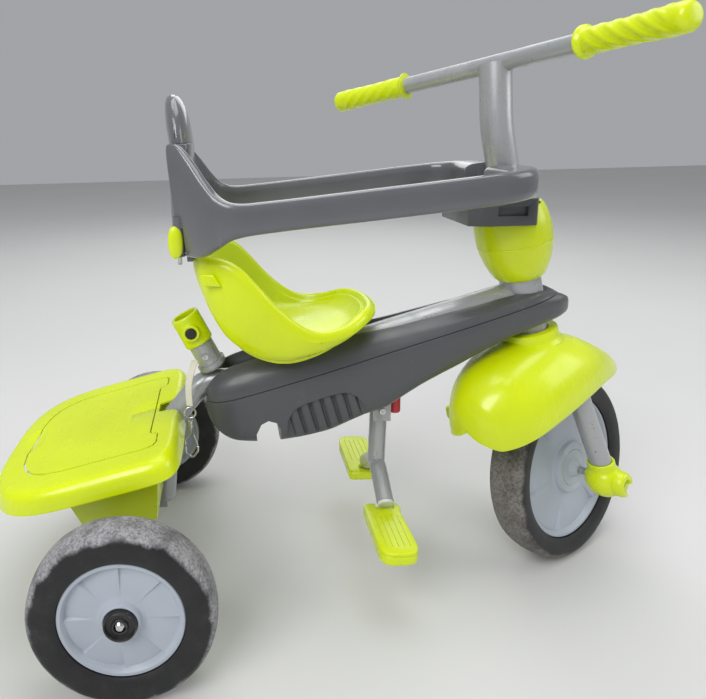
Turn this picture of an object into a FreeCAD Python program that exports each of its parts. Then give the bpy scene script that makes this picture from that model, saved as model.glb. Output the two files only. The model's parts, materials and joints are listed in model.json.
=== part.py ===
"""Children's tricycle: frame, steering, wheels, seat with a safety bar, footrest and rear bucket.

Millimetres, +X forwards, +Y to the rider's left, +Z up. The pieces are drawn with the middle of the
rear axle at X = 0 and the ground at Z = 0, and are moved along X together when they are written, so
that the origin is on the ground under the middle of the whole tricycle.
"""
import FreeCAD, Part
import math
import os

V = FreeCAD.Vector

# ---- driving dimensions --------------------------------------------------------------------------
overall_middle_x = 253.0        # from the rear axle to the middle of the tricycle's length
press_gap = 0.2                 # between moulded faces that meet on one body
part_gap = 0.5                  # between faces of pieces that move apart
running_gap = 0.05              # radial, shaft in bore

rear_wheel_radius = 100.0
rear_tyre_width = 44.0
rear_rim_radius = 67.0
rear_track = 392.0
front_wheel_radius = 125.5
front_tyre_width = 48.0
front_rim_radius = 96.5
tread_crown_radius = 60.0
axle_radius = 5.0
axle_tube_radius = 12.0
axle_tube_half = 150.0

steering_ground_x = 580.8       # where the steering axis meets the ground
rake_deg = 12.1
fork_offset = 21.9
parked_steer_deg = 31.2         # the front wheel is stored turned to the left

main_tube_radius = 20.0
rear_tube_radius = 15.0
tube_wall = 1.5
head_tube_radius = 25.0
head_tube_bottom = 352.0        # heights along the steering axis
head_tube_top = 498.0
steerer_radius = 15.0
stem_radius = 19.0
stem_top = 673.0
stem_forward = 16.5
bar_radius = 11.0
bar_half = 222.0
bar_sweep = 51.0
bar_tip = 4.0
grip_inner = 122.0
grip_radius = 15.0
grip_flange_radius = 17.5
fork_tube_radius = 13.0
fork_half = 62.0
fork_shoulder_half = 49.0
fork_crown_height = 292.0
fork_ball_radius = 23.0
pedal_crank = 45.0
pedal_length = 50.0
pedal_width = 62.0
pedal_thickness = 22.0

bar_arm_half = 121.0
bar_arm_width = 18.0
bar_arm_depth = 34.0
bar_hinge_x = 66.0
bar_hinge_half = 66.0
hinge_pin_radius = 2.5

bucket_top_half = 122.0
bucket_bottom_half = 96.0
bucket_wall = 2.5
lid_front_x = 55.0
lid_rear_x = -178.0
lid_half = 141.0
lid_skirt = 24.0
lid_front_z = 240.0
lid_slope_deg = 14.0
hatch_front_x = 24.0
hatch_rear_x = -146.0
hatch_half = 104.0
hatch_thickness = 4.0
opening_rear_x = -76.0          # rear edge of the hole under the hatch

footrest_pivot = (317.0, 226.0)
footrest_tube_radius = 11.0
footrest_drop = 111.0
branch_half = 50.0              # from the middle to the end of each branch of the tube
branch_rise = 34.0
branch_bend = 26.0
bracket_half = 11.0
latch_x = 338.0
latch_radius = 8.0
plate_inner = 40.0
plate_length = 98.0
plate_width = 46.0
plate_thickness = 13.0

# ---- small helpers ---------------------------------------------------------------------------------
rake = math.radians(rake_deg)
steer_place = FreeCAD.Placement(V(steering_ground_x, 0, 0), FreeCAD.Rotation(V(0, 1, 0), -rake_deg))
parked_place = steer_place.multiply(
    FreeCAD.Placement(V(0, 0, 0), FreeCAD.Rotation(V(0, 0, 1), parked_steer_deg)))
export_shift = V(-overall_middle_x, 0, 0)
os.makedirs("parts", exist_ok=True)


def save(node, *solids, place=None):
    """Write one node, with the pieces it is made of as separate solids."""
    shape = solids[0] if len(solids) == 1 else Part.makeCompound(list(solids))
    shape = shape.copy()
    if place is not None:
        shape = placed(shape, place)
    shape.translate(export_shift)
    shape.exportStep("parts/" + node + ".step")


def placed(shape, place):
    """A copy of a shape moved to a placement."""
    moved = shape.copy()
    moved.Placement = place.multiply(moved.Placement)
    return moved


def mirrored(shape):
    """The same piece on the rider's other side."""
    return shape.mirror(V(0, 0, 0), V(0, 1, 0))


def rod(start, end, radius):
    """A round bar between two points."""
    axis = V(*end) - V(*start)
    return Part.makeCylinder(radius, axis.Length, V(*start), axis)


def sleeve(start, end, outer, inner):
    """A round bar with a bore."""
    return rod(start, end, outer).cut(rod(start, end, inner))


def box(low, high):
    """A box between its lowest and highest corners."""
    return Part.makeBox(high[0] - low[0], high[1] - low[1], high[2] - low[2], V(*low))


def rounded_box(low, high, radius):
    """A box with all its edges rounded."""
    block = box(low, high)
    return block.makeFillet(radius, block.Edges)


def path_wire(points, bend):
    """Straight runs through the points, joined by arcs of the bend radius."""
    points = [V(*point) for point in points]
    edges = []
    start = points[0]
    for before, corner, after in zip(points, points[1:], points[2:]):
        back = (before - corner).normalize()
        ahead = (after - corner).normalize()
        half_turn = (math.pi - back.getAngle(ahead)) / 2
        reach = bend * math.tan(half_turn)
        entry = corner + back * reach
        leave = corner + ahead * reach
        middle = (back + ahead).normalize()
        top = corner + middle * (bend / math.cos(half_turn) - bend)
        edges.append(Part.LineSegment(start, entry).toShape())
        edges.append(Part.Arc(entry, top, leave).toShape())
        start = leave
    edges.append(Part.LineSegment(start, points[-1]).toShape())
    return Part.Wire(edges)


def bent_rod(points, bend, radius):
    """A round bar bent along the points."""
    path = path_wire(points, bend)
    direction = V(*points[1]) - V(*points[0])
    ring = Part.Wire(Part.makeCircle(radius, V(*points[0]), direction))
    return path.makePipeShell([ring], True, False)


def bent_tube(points, bend, radius, wall):
    """A hollow tube bent along the points."""
    return bent_rod(points, bend, radius).cut(bent_rod(points, bend, radius - wall))


def turned(outline, centre, axis):
    """Turn an outline of (radius, distance along the axis) into a solid."""
    axis = V(*axis).normalize()
    side = V(1, 0, 0) if abs(axis.x) < 0.9 else V(0, 0, 1)
    side = (side - axis * side.dot(axis)).normalize()
    corners = [V(*centre) + side * radius + axis * along for radius, along in outline]
    face = Part.Face(Part.makePolygon(corners + corners[:1]))
    return face.revolve(V(*centre), axis, 360)


def rounded_section(x, half_width, low, high, radius):
    """A rounded rectangle standing across the tricycle at x."""
    radius = min(radius, half_width * 0.95, (high - low) * 0.475)
    corners = [(-half_width, low), (half_width, low), (half_width, high), (-half_width, high)]
    edges = []
    for index in range(4):
        here = corners[index]
        after = corners[(index + 1) % 4]
        beyond = corners[(index + 2) % 4]
        along = (V(x, *after) - V(x, *here)).normalize()
        turn = (V(x, *beyond) - V(x, *after)).normalize()
        corner = V(x, *after)
        entry = corner - along * radius
        leave = corner + turn * radius
        middle = corner + (turn - along) * radius * (1 - math.sqrt(0.5))
        edges.append(Part.LineSegment(V(x, *here) + along * radius, entry).toShape())
        edges.append(Part.Arc(entry, middle, leave).toShape())
    return Part.Wire(edges)


def lofted(sections, radius, inset=0.0):
    """A solid through sections of (x, half width, low, high), drawn in by the inset."""
    wires = []
    for x, half_width, low, high in sections:
        wires.append(rounded_section(x, half_width - inset, low + inset, high - inset, radius))
    return Part.makeLoft(wires, True, False)


def plan_slab(points, low, high):
    """An upright slab with a polygon plan."""
    corners = [V(x, y, low) for x, y in points]
    return Part.Face(Part.makePolygon(corners + corners[:1])).extrude(V(0, 0, high - low))


# ---- wheels ----------------------------------------------------------------------------------------
def tyre(radius, width, seat_radius, centre, axis):
    """A solid tyre with a gently crowned tread and rounded shoulders."""
    axis = V(*axis).normalize()
    side = V(1, 0, 0) if abs(axis.x) < 0.9 else V(0, 0, 1)
    side = (side - axis * side.dot(axis)).normalize()
    centre = V(*centre)
    half = width / 2
    tread_half = half * 0.72
    tread_drop = tread_crown_radius - math.sqrt(tread_crown_radius ** 2 - tread_half ** 2)

    def at(distance, along):
        return centre + side * distance + axis * along

    shoulder = radius - tread_drop
    wall_mid = (shoulder - 9 + seat_radius) / 2
    seat_half = half * 0.8
    edges = [
        Part.Arc(at(shoulder, -tread_half), at(radius, 0), at(shoulder, tread_half)).toShape(),
        Part.Arc(at(shoulder, tread_half), at(shoulder - 3, half - 2.4), at(shoulder - 9, half)).toShape(),
        Part.Arc(at(shoulder - 9, half), at(wall_mid, half * 0.97), at(seat_radius, seat_half)).toShape(),
        Part.LineSegment(at(seat_radius, seat_half), at(seat_radius, -seat_half)).toShape(),
        Part.Arc(at(seat_radius, -seat_half), at(wall_mid, -half * 0.97),
                 at(shoulder - 9, -half)).toShape(),
        Part.Arc(at(shoulder - 9, -half), at(shoulder - 3, 2.4 - half),
                 at(shoulder, -tread_half)).toShape(),
    ]
    return Part.Face(Part.Wire(edges)).revolve(centre, axis, 360)


def rim(radius, half, hub_radius, hub_half, centre, axis):
    """A moulded rim: a barrel with a lip, a recessed disc on each side and a bored hub."""
    lip = 4.5
    recess = 4.0
    outline = [
        (axle_radius + running_gap, -hub_half), (hub_radius, -hub_half),
        (hub_radius + 4, -half + recess), (radius - lip - 3, -half + recess),
        (radius - lip, -half), (radius - press_gap, -half),
        (radius - press_gap, half), (radius - lip, half),
        (radius - lip - 3, half - recess), (hub_radius + 4, half - recess),
        (hub_radius, hub_half), (axle_radius + running_gap, hub_half),
    ]
    return turned(outline, centre, axis)


rear_half = rear_track / 2
rear_rim_half = 17.0
rear_hub_half = 20.0
cap_radius = 17.5
cap_height = 6.0
screw_radius = 5.5
screw_reach = 25.5              # from the wheel's middle to the outer face of the axle's end screw


def rear_wheel(side, name):
    """One rear wheel with its cap; side is -1 on the right and 1 on the left."""
    centre = (0, side * rear_half, rear_wheel_radius)
    axis = (0, side, 0)
    save("rear_tyre_" + name, tyre(rear_wheel_radius, rear_tyre_width, rear_rim_radius, centre, axis))
    cap_seat = rear_hub_half - 9
    wheel_rim = rim(rear_rim_radius, rear_rim_half, 20, rear_hub_half, centre, axis)
    pocket = rod((0, side * (rear_half + cap_seat), rear_wheel_radius),
                 (0, side * (rear_half + rear_hub_half + 1), rear_wheel_radius), cap_radius + press_gap)
    save("rear_rim_" + name, wheel_rim.cut(pocket))
    end = cap_seat + press_gap
    cap = [(screw_radius + part_gap, end + 4), (9, end + 4), (9, end), (cap_radius, end), (cap_radius, end + 6),
           (cap_radius - 4, end + 9 + cap_height), (screw_radius + part_gap, end + 9 + cap_height)]
    save("hub_cap_" + name, turned(cap, centre, axis))


def rear_axle_group():
    """The axle, the tube that carries it and a spacer at each end."""
    z = rear_wheel_radius
    axle_half = rear_half + 18.0
    save("rear_axle", rod((0, -axle_half, z), (0, axle_half, z), axle_radius))
    screws = []
    bushes = []
    tube = sleeve((0, -axle_tube_half, z), (0, axle_tube_half, z), axle_tube_radius, axle_radius + 2)
    save("axle_tube", tube)
    for side in (-1, 1):
        start = side * (axle_tube_half - 14)
        face = side * (axle_tube_half + press_gap)
        end = side * (rear_half - rear_hub_half - part_gap)
        bush = rod((0, start, z), (0, side * axle_tube_half, z), axle_radius + 2 - press_gap)
        bush = bush.fuse(rod((0, face, z), (0, end, z), axle_tube_radius - 2))
        bush = bush.fuse(rod((0, side * axle_tube_half, z), (0, face, z), axle_radius + 1.5))
        bush = bush.cut(rod((0, start - side, z), (0, end + side, z), axle_radius + running_gap))
        bushes.append(bush.removeSplitter())
        head = [(0, 18 + press_gap), (screw_radius, 18 + press_gap), (screw_radius, screw_reach - 2),
                (screw_radius - 2, screw_reach), (0, screw_reach)]
        screws.append(turned(head, (0, side * rear_half, z), (0, side, 0)))
    save("axle_bushes", *bushes)
    save("axle_screws", *screws)


# ---- frame -----------------------------------------------------------------------------------------
tube_slope = math.radians(16.0)
tube_front = (489.0, 370.0)     # x and z of the main tube's middle at the head tube
rear_tube_bend = 38.0
rear_tube_points = [(150, 0, 271), (84, 0, 268), (36, 0, 210), (26, 0, rear_wheel_radius + 4)]


def main_tube_at(x):
    """Height of the main tube's middle at x."""
    return tube_front[1] - (tube_front[0] - x) * math.tan(tube_slope)


def frame_group():
    """The welded frame: main tube, rear tube, head tube and the push-handle socket."""
    tail_x = 112.0
    main = rod((tail_x, 0, main_tube_at(tail_x)), (tube_front[0], 0, tube_front[1]), main_tube_radius)
    bore = rod((tail_x + 3, 0, main_tube_at(tail_x + 3)), (tube_front[0], 0, tube_front[1]),
               main_tube_radius - tube_wall)
    head_cut = placed(Part.makeCylinder(head_tube_radius + 0.01, 300, V(0, 0, 250)), steer_place)
    main = main.cut(bore).cut(head_cut)
    rear = bent_tube(rear_tube_points, rear_tube_bend, rear_tube_radius, tube_wall)
    axle_cut = rod((0, -60, rear_wheel_radius), (0, 60, rear_wheel_radius), axle_tube_radius + 0.01)
    main_solid = rod((tail_x, 0, main_tube_at(tail_x)), (tube_front[0], 0, tube_front[1]),
                     main_tube_radius + 0.01)
    cradle = rod((0, -34, rear_wheel_radius), (0, 34, rear_wheel_radius), axle_tube_radius + 4)
    cradle = cradle.cut(axle_cut)
    web = box((6, -9, rear_wheel_radius - 8), (30, 9, rear_wheel_radius + 30))
    rear_core = bent_rod(rear_tube_points, rear_tube_bend, rear_tube_radius - tube_wall)
    rear_foot = rear.fuse(cradle).fuse(web.cut(rear_core)).cut(axle_cut).cut(main_solid)
    save("main_tube", main)
    save("rear_tube", max(rear_foot.Solids, key=lambda solid: solid.Volume))
    head = Part.makeCylinder(head_tube_radius, head_tube_top - head_tube_bottom, V(0, 0, head_tube_bottom))
    head = head.cut(Part.makeCylinder(head_tube_radius - 2, 400, V(0, 0, 200)))
    save("head_tube", head, place=steer_place)
    bush_depth = 14.0
    bushes = []
    for low in (head_tube_bottom, head_tube_top - bush_depth):
        bush = Part.makeCylinder(head_tube_radius - 2 - press_gap, bush_depth, V(0, 0, low))
        bush = bush.cut(Part.makeCylinder(steerer_radius + running_gap, 400, V(0, 0, 200)))
        bushes.append(bush)
    save("steering_bushes", *[placed(bush, steer_place) for bush in bushes])


socket_radius = 16.0
socket_base = (99.0, 0.0, 288.0)
socket_lean_deg = 27.0
socket_up = V(-math.sin(math.radians(socket_lean_deg)), 0, math.cos(math.radians(socket_lean_deg)))
socket_length = 72.0
collar_radius = 19.0
collar_length = 42.0


def handle_socket_group():
    """The short leaning tube at the back that takes a push handle, with its lime lock collar."""
    up = socket_up
    base = V(*socket_base)
    top = base + up * socket_length
    wall = 1.8
    tube = rod(base, top, socket_radius).cut(rod(base + up * 8, top + up, socket_radius - wall))
    weld = sleeve(base + up * 3, base + up * 9, socket_radius + 3, socket_radius)
    tube = tube.fuse(weld)
    tube = tube.cut(rod((112.0, 0, main_tube_at(112.0)), (300, 0, main_tube_at(300)), main_tube_radius + 0.02))
    tube = tube.cut(bent_rod(rear_tube_points, rear_tube_bend, rear_tube_radius + 0.02))
    tube = max(tube.Solids, key=lambda solid: solid.Volume)
    collar_low = base + up * (socket_length - collar_length + 8)
    collar_high = collar_low + up * collar_length
    collar = rod(collar_low, collar_high, collar_radius)
    collar = collar.makeFillet(2.5, [edge for edge in collar.Edges if edge.Curve.TypeId.endswith("Circle")])
    collar = collar.cut(rod(collar_low - up, top + up * press_gap, socket_radius + press_gap))
    collar = collar.cut(rod(top, collar_high + up, socket_radius - wall))
    boss_middle = collar_low + up * (collar_length * 0.5)
    out = V(0, -1, 0)
    boss = rod(boss_middle + out * (collar_radius - 4), boss_middle + out * (collar_radius + 4), 11)
    collar = collar.fuse(boss.cut(rod(collar_low - up, collar_high + up, collar_radius - 1)))
    button_bore = rod(boss_middle + out * (socket_radius + press_gap + 0.2),
                      boss_middle + out * (collar_radius + 9), 7 + running_gap)
    collar = collar.cut(button_bore)
    save("handle_collar", max(collar.Solids, key=lambda solid: solid.Volume))
    button = rod(boss_middle + out * (collar_radius - 1), boss_middle + out * (collar_radius + 5), 7)
    save("collar_button", button.makeFillet(1.2, [button.Edges[0]]))
    save("handle_socket", tube)
    rivet_middle = base + up * 22
    rivet = rod(rivet_middle + out * (socket_radius + 0.3), rivet_middle + out * (socket_radius + 2.4), 4)
    save("socket_rivet", rivet)


# ---- body cover --------------------------------------------------------------------------------------
cover_sections = [
    (86.0, 22.0, 240.0, 262.0),
    (96.0, 36.0, 220.0, 280.0),
    (125.0, 47.0, 198.0, 297.0),
    (180.0, 51.0, 197.0, 314.0),
    (240.0, 52.0, 208.0, 327.0),
    (290.0, 51.0, 230.0, 336.0),
    (340.0, 50.0, 255.0, 344.0),
    (430.0, 46.0, 304.0, 364.0),
    (505.0, 38.0, 333.0, 382.0),
    (545.0, 25.0, 343.0, 377.0),
    (558.0, 10.0, 350.0, 366.0),
]
cover_corner = 14.0
cover_wall = 2.5
cover_seam_rise = 4.0


def cover_group():
    """The two halves of the cover around the main tube, parted along a sloping seam."""
    outer = lofted(cover_sections, cover_corner)
    inner_sections = cover_sections[1:-1]
    inner = lofted(inner_sections, cover_corner - cover_wall, cover_wall)
    shell = outer.cut(inner)
    tube_room = main_tube_radius + 1.0
    channel = rod((60, 0, main_tube_at(60)), (600, 0, main_tube_at(600)), tube_room)
    slope = V(math.cos(tube_slope), 0, math.sin(tube_slope))
    rise = V(-math.sin(tube_slope), 0, math.cos(tube_slope))
    start = V(60, -tube_room, main_tube_at(60))
    slot = Part.makePolygon([start, start + slope * 600, start + slope * 600 + rise * 60,
                             start + rise * 60, start])
    slot = Part.Face(slot).extrude(V(0, 2 * tube_room, 0))
    head_room = placed(Part.makeCylinder(head_tube_radius + 1.0, 400, V(0, 0, 200)), steer_place)
    rear_room = bent_rod(rear_tube_points, rear_tube_bend, rear_tube_radius + 1.0)
    socket_room = rod(V(*socket_base) - socket_up * 2, V(*socket_base) + socket_up * 80, socket_radius + 4)
    notch = box((150, -60, 185), (181, 60, 228))
    shell = shell.cut(channel).cut(slot).cut(head_room).cut(rear_room).cut(socket_room).cut(notch)
    shell = shell.cut(box((footrest_pivot[0] - 17, -21, 200), (footrest_pivot[0] + 17, 21, 262)))
    latch_half = latch_radius + 1.0
    shell = shell.cut(box((latch_x - latch_half, -latch_half, 200), (latch_x + latch_half, latch_half, 290)))
    seam = V(0, 0, main_tube_at(0) - cover_seam_rise)
    low_half = Part.makePolygon([V(40, -90, 0), V(620, -90, 0),
                                 V(620, -90, seam.z + 620 * math.tan(tube_slope)),
                                 V(40, -90, seam.z + 40 * math.tan(tube_slope)), V(40, -90, 0)])
    low_half = Part.Face(low_half).extrude(V(0, 180, 0))
    lower = shell.common(low_half)
    low_half.translate(V(0, 0, press_gap))
    upper = shell.cut(low_half)
    save("cover_lower", *[solid for solid in lower.Solids if solid.Volume > 500])
    save("cover_upper", *[solid for solid in upper.Solids if solid.Volume > 500])


# ---- steering ----------------------------------------------------------------------------------------
lean_sine = math.sin(rake) * math.sin(math.radians(parked_steer_deg))
tread_ring = front_wheel_radius - tread_crown_radius
front_centre_z = tread_ring * math.sqrt(1 - lean_sine ** 2) + tread_crown_radius
front_centre_up = ((front_centre_z - fork_offset * math.cos(math.radians(parked_steer_deg))
                    * math.sin(rake)) / math.cos(rake))
front_centre = (fork_offset, 0, front_centre_up)


def front_wheel_group():
    """The front wheel with its hub discs and axle."""
    axis = (0, 1, 0)
    save("front_tyre", tyre(front_wheel_radius, front_tyre_width, front_rim_radius, front_centre, axis),
         place=parked_place)
    hub_half = 21.0
    discs = []
    wheel_rim = rim(front_rim_radius, 17.5, 34.0, hub_half, front_centre, axis)
    for side in (-1, 1):
        pocket = rod((front_centre[0], side * (hub_half - 3), front_centre[2]),
                     (front_centre[0], side * (hub_half + 1), front_centre[2]), 24 + press_gap)
        wheel_rim = wheel_rim.cut(pocket)
        disc = [(axle_radius + press_gap, hub_half - 2.8), (24, hub_half - 2.8), (24, hub_half),
                (13, hub_half + 1), (8, hub_half + 9), (axle_radius + press_gap, hub_half + 9)]
        discs.append(placed(turned(disc, front_centre, (0, side, 0)), parked_place))
    save("hub_discs", *discs)
    save("front_rim", wheel_rim, place=parked_place)
    axle = rod((front_centre[0], -fork_half - 6, front_centre[2]),
               (front_centre[0], fork_half + 6, front_centre[2]), axle_radius)
    save("front_axle", axle, place=parked_place)


def fork_group():
    """The steerer and the bent fork tube, with a lime housing on each end."""
    up = front_centre_up
    offset = front_centre[0]
    leg_points = [(0, 0, fork_crown_height), (2, -fork_shoulder_half, fork_crown_height - 8),
                  (10, -fork_shoulder_half - 3, 232), (offset, -fork_half, up + 12)]
    right_leg = bent_rod(leg_points, 24.0, fork_tube_radius)
    left_leg = mirrored(right_leg)
    steerer_top = head_tube_top + 26.0
    steerer = rod((0, 0, fork_crown_height - 2), (0, 0, steerer_top), steerer_radius)
    crown = rod((0, 0, fork_crown_height - 10), (0, 0, head_tube_bottom - 2), head_tube_radius - 1)
    fork = right_leg.fuse([left_leg, steerer, crown]).removeSplitter()
    housings = []
    for side in (-1, 1):
        centre = V(offset, side * fork_half, up)
        ball = Part.makeSphere(fork_ball_radius, centre)
        neck_top = V(offset - 1.2, side * (fork_half - 1.5), up + 27)
        neck = rod(centre, neck_top, fork_tube_radius + 3.2)
        housing = ball.fuse(neck)
        pedal_socket = rod(centre + V(0, side * 8.5, 0), centre + V(0, side * 40, 0), 7.5)
        housing = housing.cut(rod(centre - V(0, side * 40, 0), centre + V(0, side * 40, 0),
                                  axle_radius + running_gap)).cut(pedal_socket)
        leg = right_leg if side < 0 else left_leg
        grown = bent_rod([(x, -side * y, z) for x, y, z in leg_points] if side > 0 else leg_points,
                         24.0, fork_tube_radius + 0.05)
        housing = housing.cut(grown)
        housing = max(housing.Solids, key=lambda solid: solid.Volume)
        housings.append(placed(housing, parked_place))
    save("fork_ends", *housings)
    bores = rod((offset, -80, up), (offset, 80, up), axle_radius + running_gap)
    fork = fork.cut(bores)
    save("fork", fork, place=parked_place)


fender_sections = [
    (-146.0, 17.0, 240.0, 268.0),
    (-132.0, 38.0, 234.0, 293.0),
    (-100.0, 56.0, 238.0, 313.0),
    (-50.0, 66.0, 246.0, 325.0),
    (0.0, 68.0, 250.0, 326.0),
    (50.0, 63.0, 248.0, 310.0),
    (100.0, 49.0, 235.0, 277.0),
    (140.0, 31.0, 221.0, 246.0),
    (162.0, 12.0, 211.0, 223.0),
]
fender_wall = 2.5


def arch_section(x, half_width, low, high, wall):
    """An arched section standing across the wheel, open line at its foot."""
    points = []
    steps = 8
    for step in range(steps + 1):
        angle = math.pi * step / steps
        across = math.copysign(abs(math.cos(angle)) ** 0.8, math.cos(angle))
        rise = math.sin(angle) ** 0.8
        points.append(V(x, (half_width - wall) * across, low + (high - wall - low) * rise))
    curve = Part.BSplineCurve()
    curve.interpolate(points)
    return Part.Wire([curve.toShape(), Part.LineSegment(points[-1], points[0]).toShape()])


def fender():
    """The domed front mudguard, open below, with a collar round the fork crown."""
    outer = Part.makeLoft([arch_section(*section, 0) for section in fender_sections], True, False)
    inner_sections = [(x, w, low - 8, high) for x, w, low, high in fender_sections[1:-1]]
    inner = Part.makeLoft([arch_section(*section, fender_wall) for section in inner_sections], True, False)
    dome = outer.fuse(Part.makeCylinder(36.0, 40, V(0, 0, 296)))
    dome = dome.cut(inner).cut(Part.makeCylinder(head_tube_radius - 1 + press_gap, 90, V(0, 0, 270)))
    dome = dome.cut(box((-170, -90, 180), (-128, 90, 247)))
    save("fender", max(dome.Solids, key=lambda solid: solid.Volume), place=parked_place)


def handlebar_group():
    """The bent stem, the bar across it and the two grips."""
    stem_bottom = head_tube_top + 2.0
    stem = bent_rod([(0, 0, stem_bottom), (0, 0, 600), (stem_forward, 0, stem_top)], 180.0, stem_radius)
    stem = stem.cut(Part.makeCylinder(steerer_radius + 0.02, 26.1, V(0, 0, stem_bottom - 0.1)))
    bar_points = [(stem_forward - bar_sweep, -bar_half, stem_top), (stem_forward, -28, stem_top),
                  (stem_forward, 28, stem_top), (stem_forward - bar_sweep, bar_half, stem_top)]
    bar = bent_tube(bar_points, 60.0, bar_radius, tube_wall)
    stem = stem.cut(bent_rod(bar_points, 60.0, bar_radius + 0.02))
    stem = max(stem.Solids, key=lambda solid: solid.Volume)
    save("stem", stem, place=parked_place)
    save("handlebar", bar, place=parked_place)
    root = V(stem_forward, 28, stem_top)
    end = V(stem_forward - bar_sweep, bar_half, stem_top)
    along = (end - root).normalize()
    reach = (end - root).Length
    start = grip_inner - 28.0
    outline = [(bar_radius + press_gap, start), (grip_flange_radius, start),
               (grip_flange_radius, start + 4), (grip_radius - 1, start + 8),
               (grip_radius - 2, (start + reach) / 2), (grip_radius - 0.5, reach - 4),
               (grip_radius - 1, reach + 3), (grip_radius - 7, reach + bar_tip + 4), (0, reach + bar_tip + 4),
               (0, reach + press_gap), (bar_radius + press_gap, reach + press_gap)]
    left = turned(outline, root, along)
    save("grip_left", left, place=parked_place)
    save("grip_right", mirrored(left), place=parked_place)


def pedal_group():
    """The left crank and pedal; the right one is off and its socket is empty."""
    centre = V(*front_centre)
    pin = centre + V(-8, 0, pedal_crank)
    crank_inner = fork_half + fork_ball_radius + part_gap + 0.5
    crank_outer = crank_inner + 9
    boss = rod(centre + V(0, fork_half + 9.2, 0), centre + V(0, crank_outer, 0), 7.0)
    crank = rod(centre + V(0, crank_inner, 0), centre + V(0, crank_outer, 0), 10)
    crank = crank.fuse(rod(pin + V(0, crank_inner, 0), pin + V(0, crank_outer, 0), 8))
    side = (pin - centre).normalize()
    across = V(side.z, 0, -side.x) * 7
    web = Part.makePolygon([centre + across, pin + across, pin - across, centre - across, centre + across])
    web = Part.Face(web)
    web.translate(V(0, crank_inner, 0))
    crank = crank.fuse(web.extrude(V(0, 9, 0))).fuse(boss)
    spindle_end = crank_outer + pedal_width - 4
    crank = crank.fuse(rod(pin + V(0, crank_inner, 0), pin + V(0, spindle_end, 0), 4))
    save("pedal_crank_left", crank.removeSplitter(), place=parked_place)
    low = pin + V(-pedal_length / 2, crank_outer + part_gap, -pedal_thickness / 2)
    high = pin + V(pedal_length / 2, crank_outer + part_gap + pedal_width, pedal_thickness / 2)
    pedal = rounded_box(low, high, 5.0)
    pedal = pedal.cut(rod(pin + V(0, crank_inner, 0), pin + V(0, spindle_end + 0.5, 0), 4 + running_gap))
    save("pedal_left", pedal, place=parked_place)


head_cover_outline = [(406.0, 27.0), (410.0, 31.0), (430.0, 40.0), (452.0, 45.0), (474.0, 45.5), (500.0, 39.0)]


def head_cover():
    """The lime bell round the head tube."""
    outer = [(radius, along) for along, radius in head_cover_outline]
    inner = [(max(radius - 3.0, head_tube_radius + press_gap), along) for along, radius in
             reversed(head_cover_outline)]
    save("head_cover", turned(outer + inner, (0, 0, 0), (0, 0, 1)), place=steer_place)


# ---- seat --------------------------------------------------------------------------------------------
def seat_group():
    """The moulded bucket seat and the saddle clamp that carries it on the main tube."""
    sections = [
        (76.0, 64.0, 396.0, 446.0),
        (88.0, 80.0, 356.0, 448.0),
        (112.0, 92.0, 322.0, 444.0),
        (150.0, 94.0, 312.0, 420.0),
        (184.0, 94.0, 310.0, 380.0),
        (220.0, 93.0, 314.0, 360.0),
        (258.0, 88.0, 328.0, 364.0),
        (288.0, 74.0, 346.0, 376.0),
        (305.0, 50.0, 360.0, 376.0),
    ]
    outer = lofted(sections, 26.0)
    hollow = [
        (100.0, 66.0, 396.0, 470.0),
        (116.0, 76.0, 368.0, 470.0),
        (150.0, 80.0, 350.0, 470.0),
        (190.0, 81.0, 342.0, 470.0),
        (230.0, 78.0, 343.0, 470.0),
        (264.0, 68.0, 352.0, 470.0),
        (286.0, 52.0, 366.0, 470.0),
    ]
    inner = lofted(hollow, 18.0)
    seat = outer.cut(inner)
    under = [
        (96.0, 60.0, 240.0, 350.0),
        (130.0, 76.0, 240.0, 342.0),
        (190.0, 80.0, 240.0, 335.0),
        (230.0, 78.0, 240.0, 336.0),
        (264.0, 62.0, 240.0, 345.0),
    ]
    seat = seat.cut(lofted(under, 16.0))
    slope_cut = rod((60, 0, main_tube_at(60)), (420, 0, main_tube_at(420)), main_tube_radius + part_gap)
    seat = seat.cut(slope_cut)
    cover_room = lofted([(x, w + 1.0, low - 60, high + 1.0) for x, w, low, high in cover_sections], 14.0)
    seat = seat.cut(cover_room)
    seat = seat.cut(rod(V(*socket_base), V(*socket_base) + socket_up * 90, collar_radius + 1.5))
    seat = seat.cut(box((71.8, -40.2, 435.8), (80.2, 40.2, 470)))
    crotch_slot = box((166, -12, 320), (180, 12, 362))
    seat = seat.cut(crotch_slot)
    for side in (-1, 1):
        seat = seat.cut(box((92, side * 84 - 14, 424), (108, side * 84 + 14, 434)))
    save("seat_shell", max(seat.Solids, key=lambda solid: solid.Volume))
    x_low, x_high = 184.0, 240.0
    saddle = box((x_low, -30, main_tube_at(x_low) + 4), (x_high, 30, 334.0))
    tube_cut = rod((100, 0, main_tube_at(100)), (300, 0, main_tube_at(300)), main_tube_radius + press_gap)
    saddle = saddle.cut(tube_cut).cut(cover_room)
    save("seat_clamp", max(saddle.Solids, key=lambda solid: solid.Volume))


# ---- backrest and safety bar -------------------------------------------------------------------------
frame_half = 58.0
backrest_top_levels = [         # height, middle x, half depth and half width
    (575.2, 69.0, 14.5, 56.0),
    (600.0, 66.2, 14.4, 49.0),
    (619.0, 63.4, 12.2, 35.0),
    (634.0, 60.5, 4.0, 8.0),
]
arm_rear_top = 511.0
arm_slope = 0.092


def arm_top(x):
    """Height of the safety bar's top face at x."""
    return arm_rear_top + (x - 120.0) * arm_slope


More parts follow.
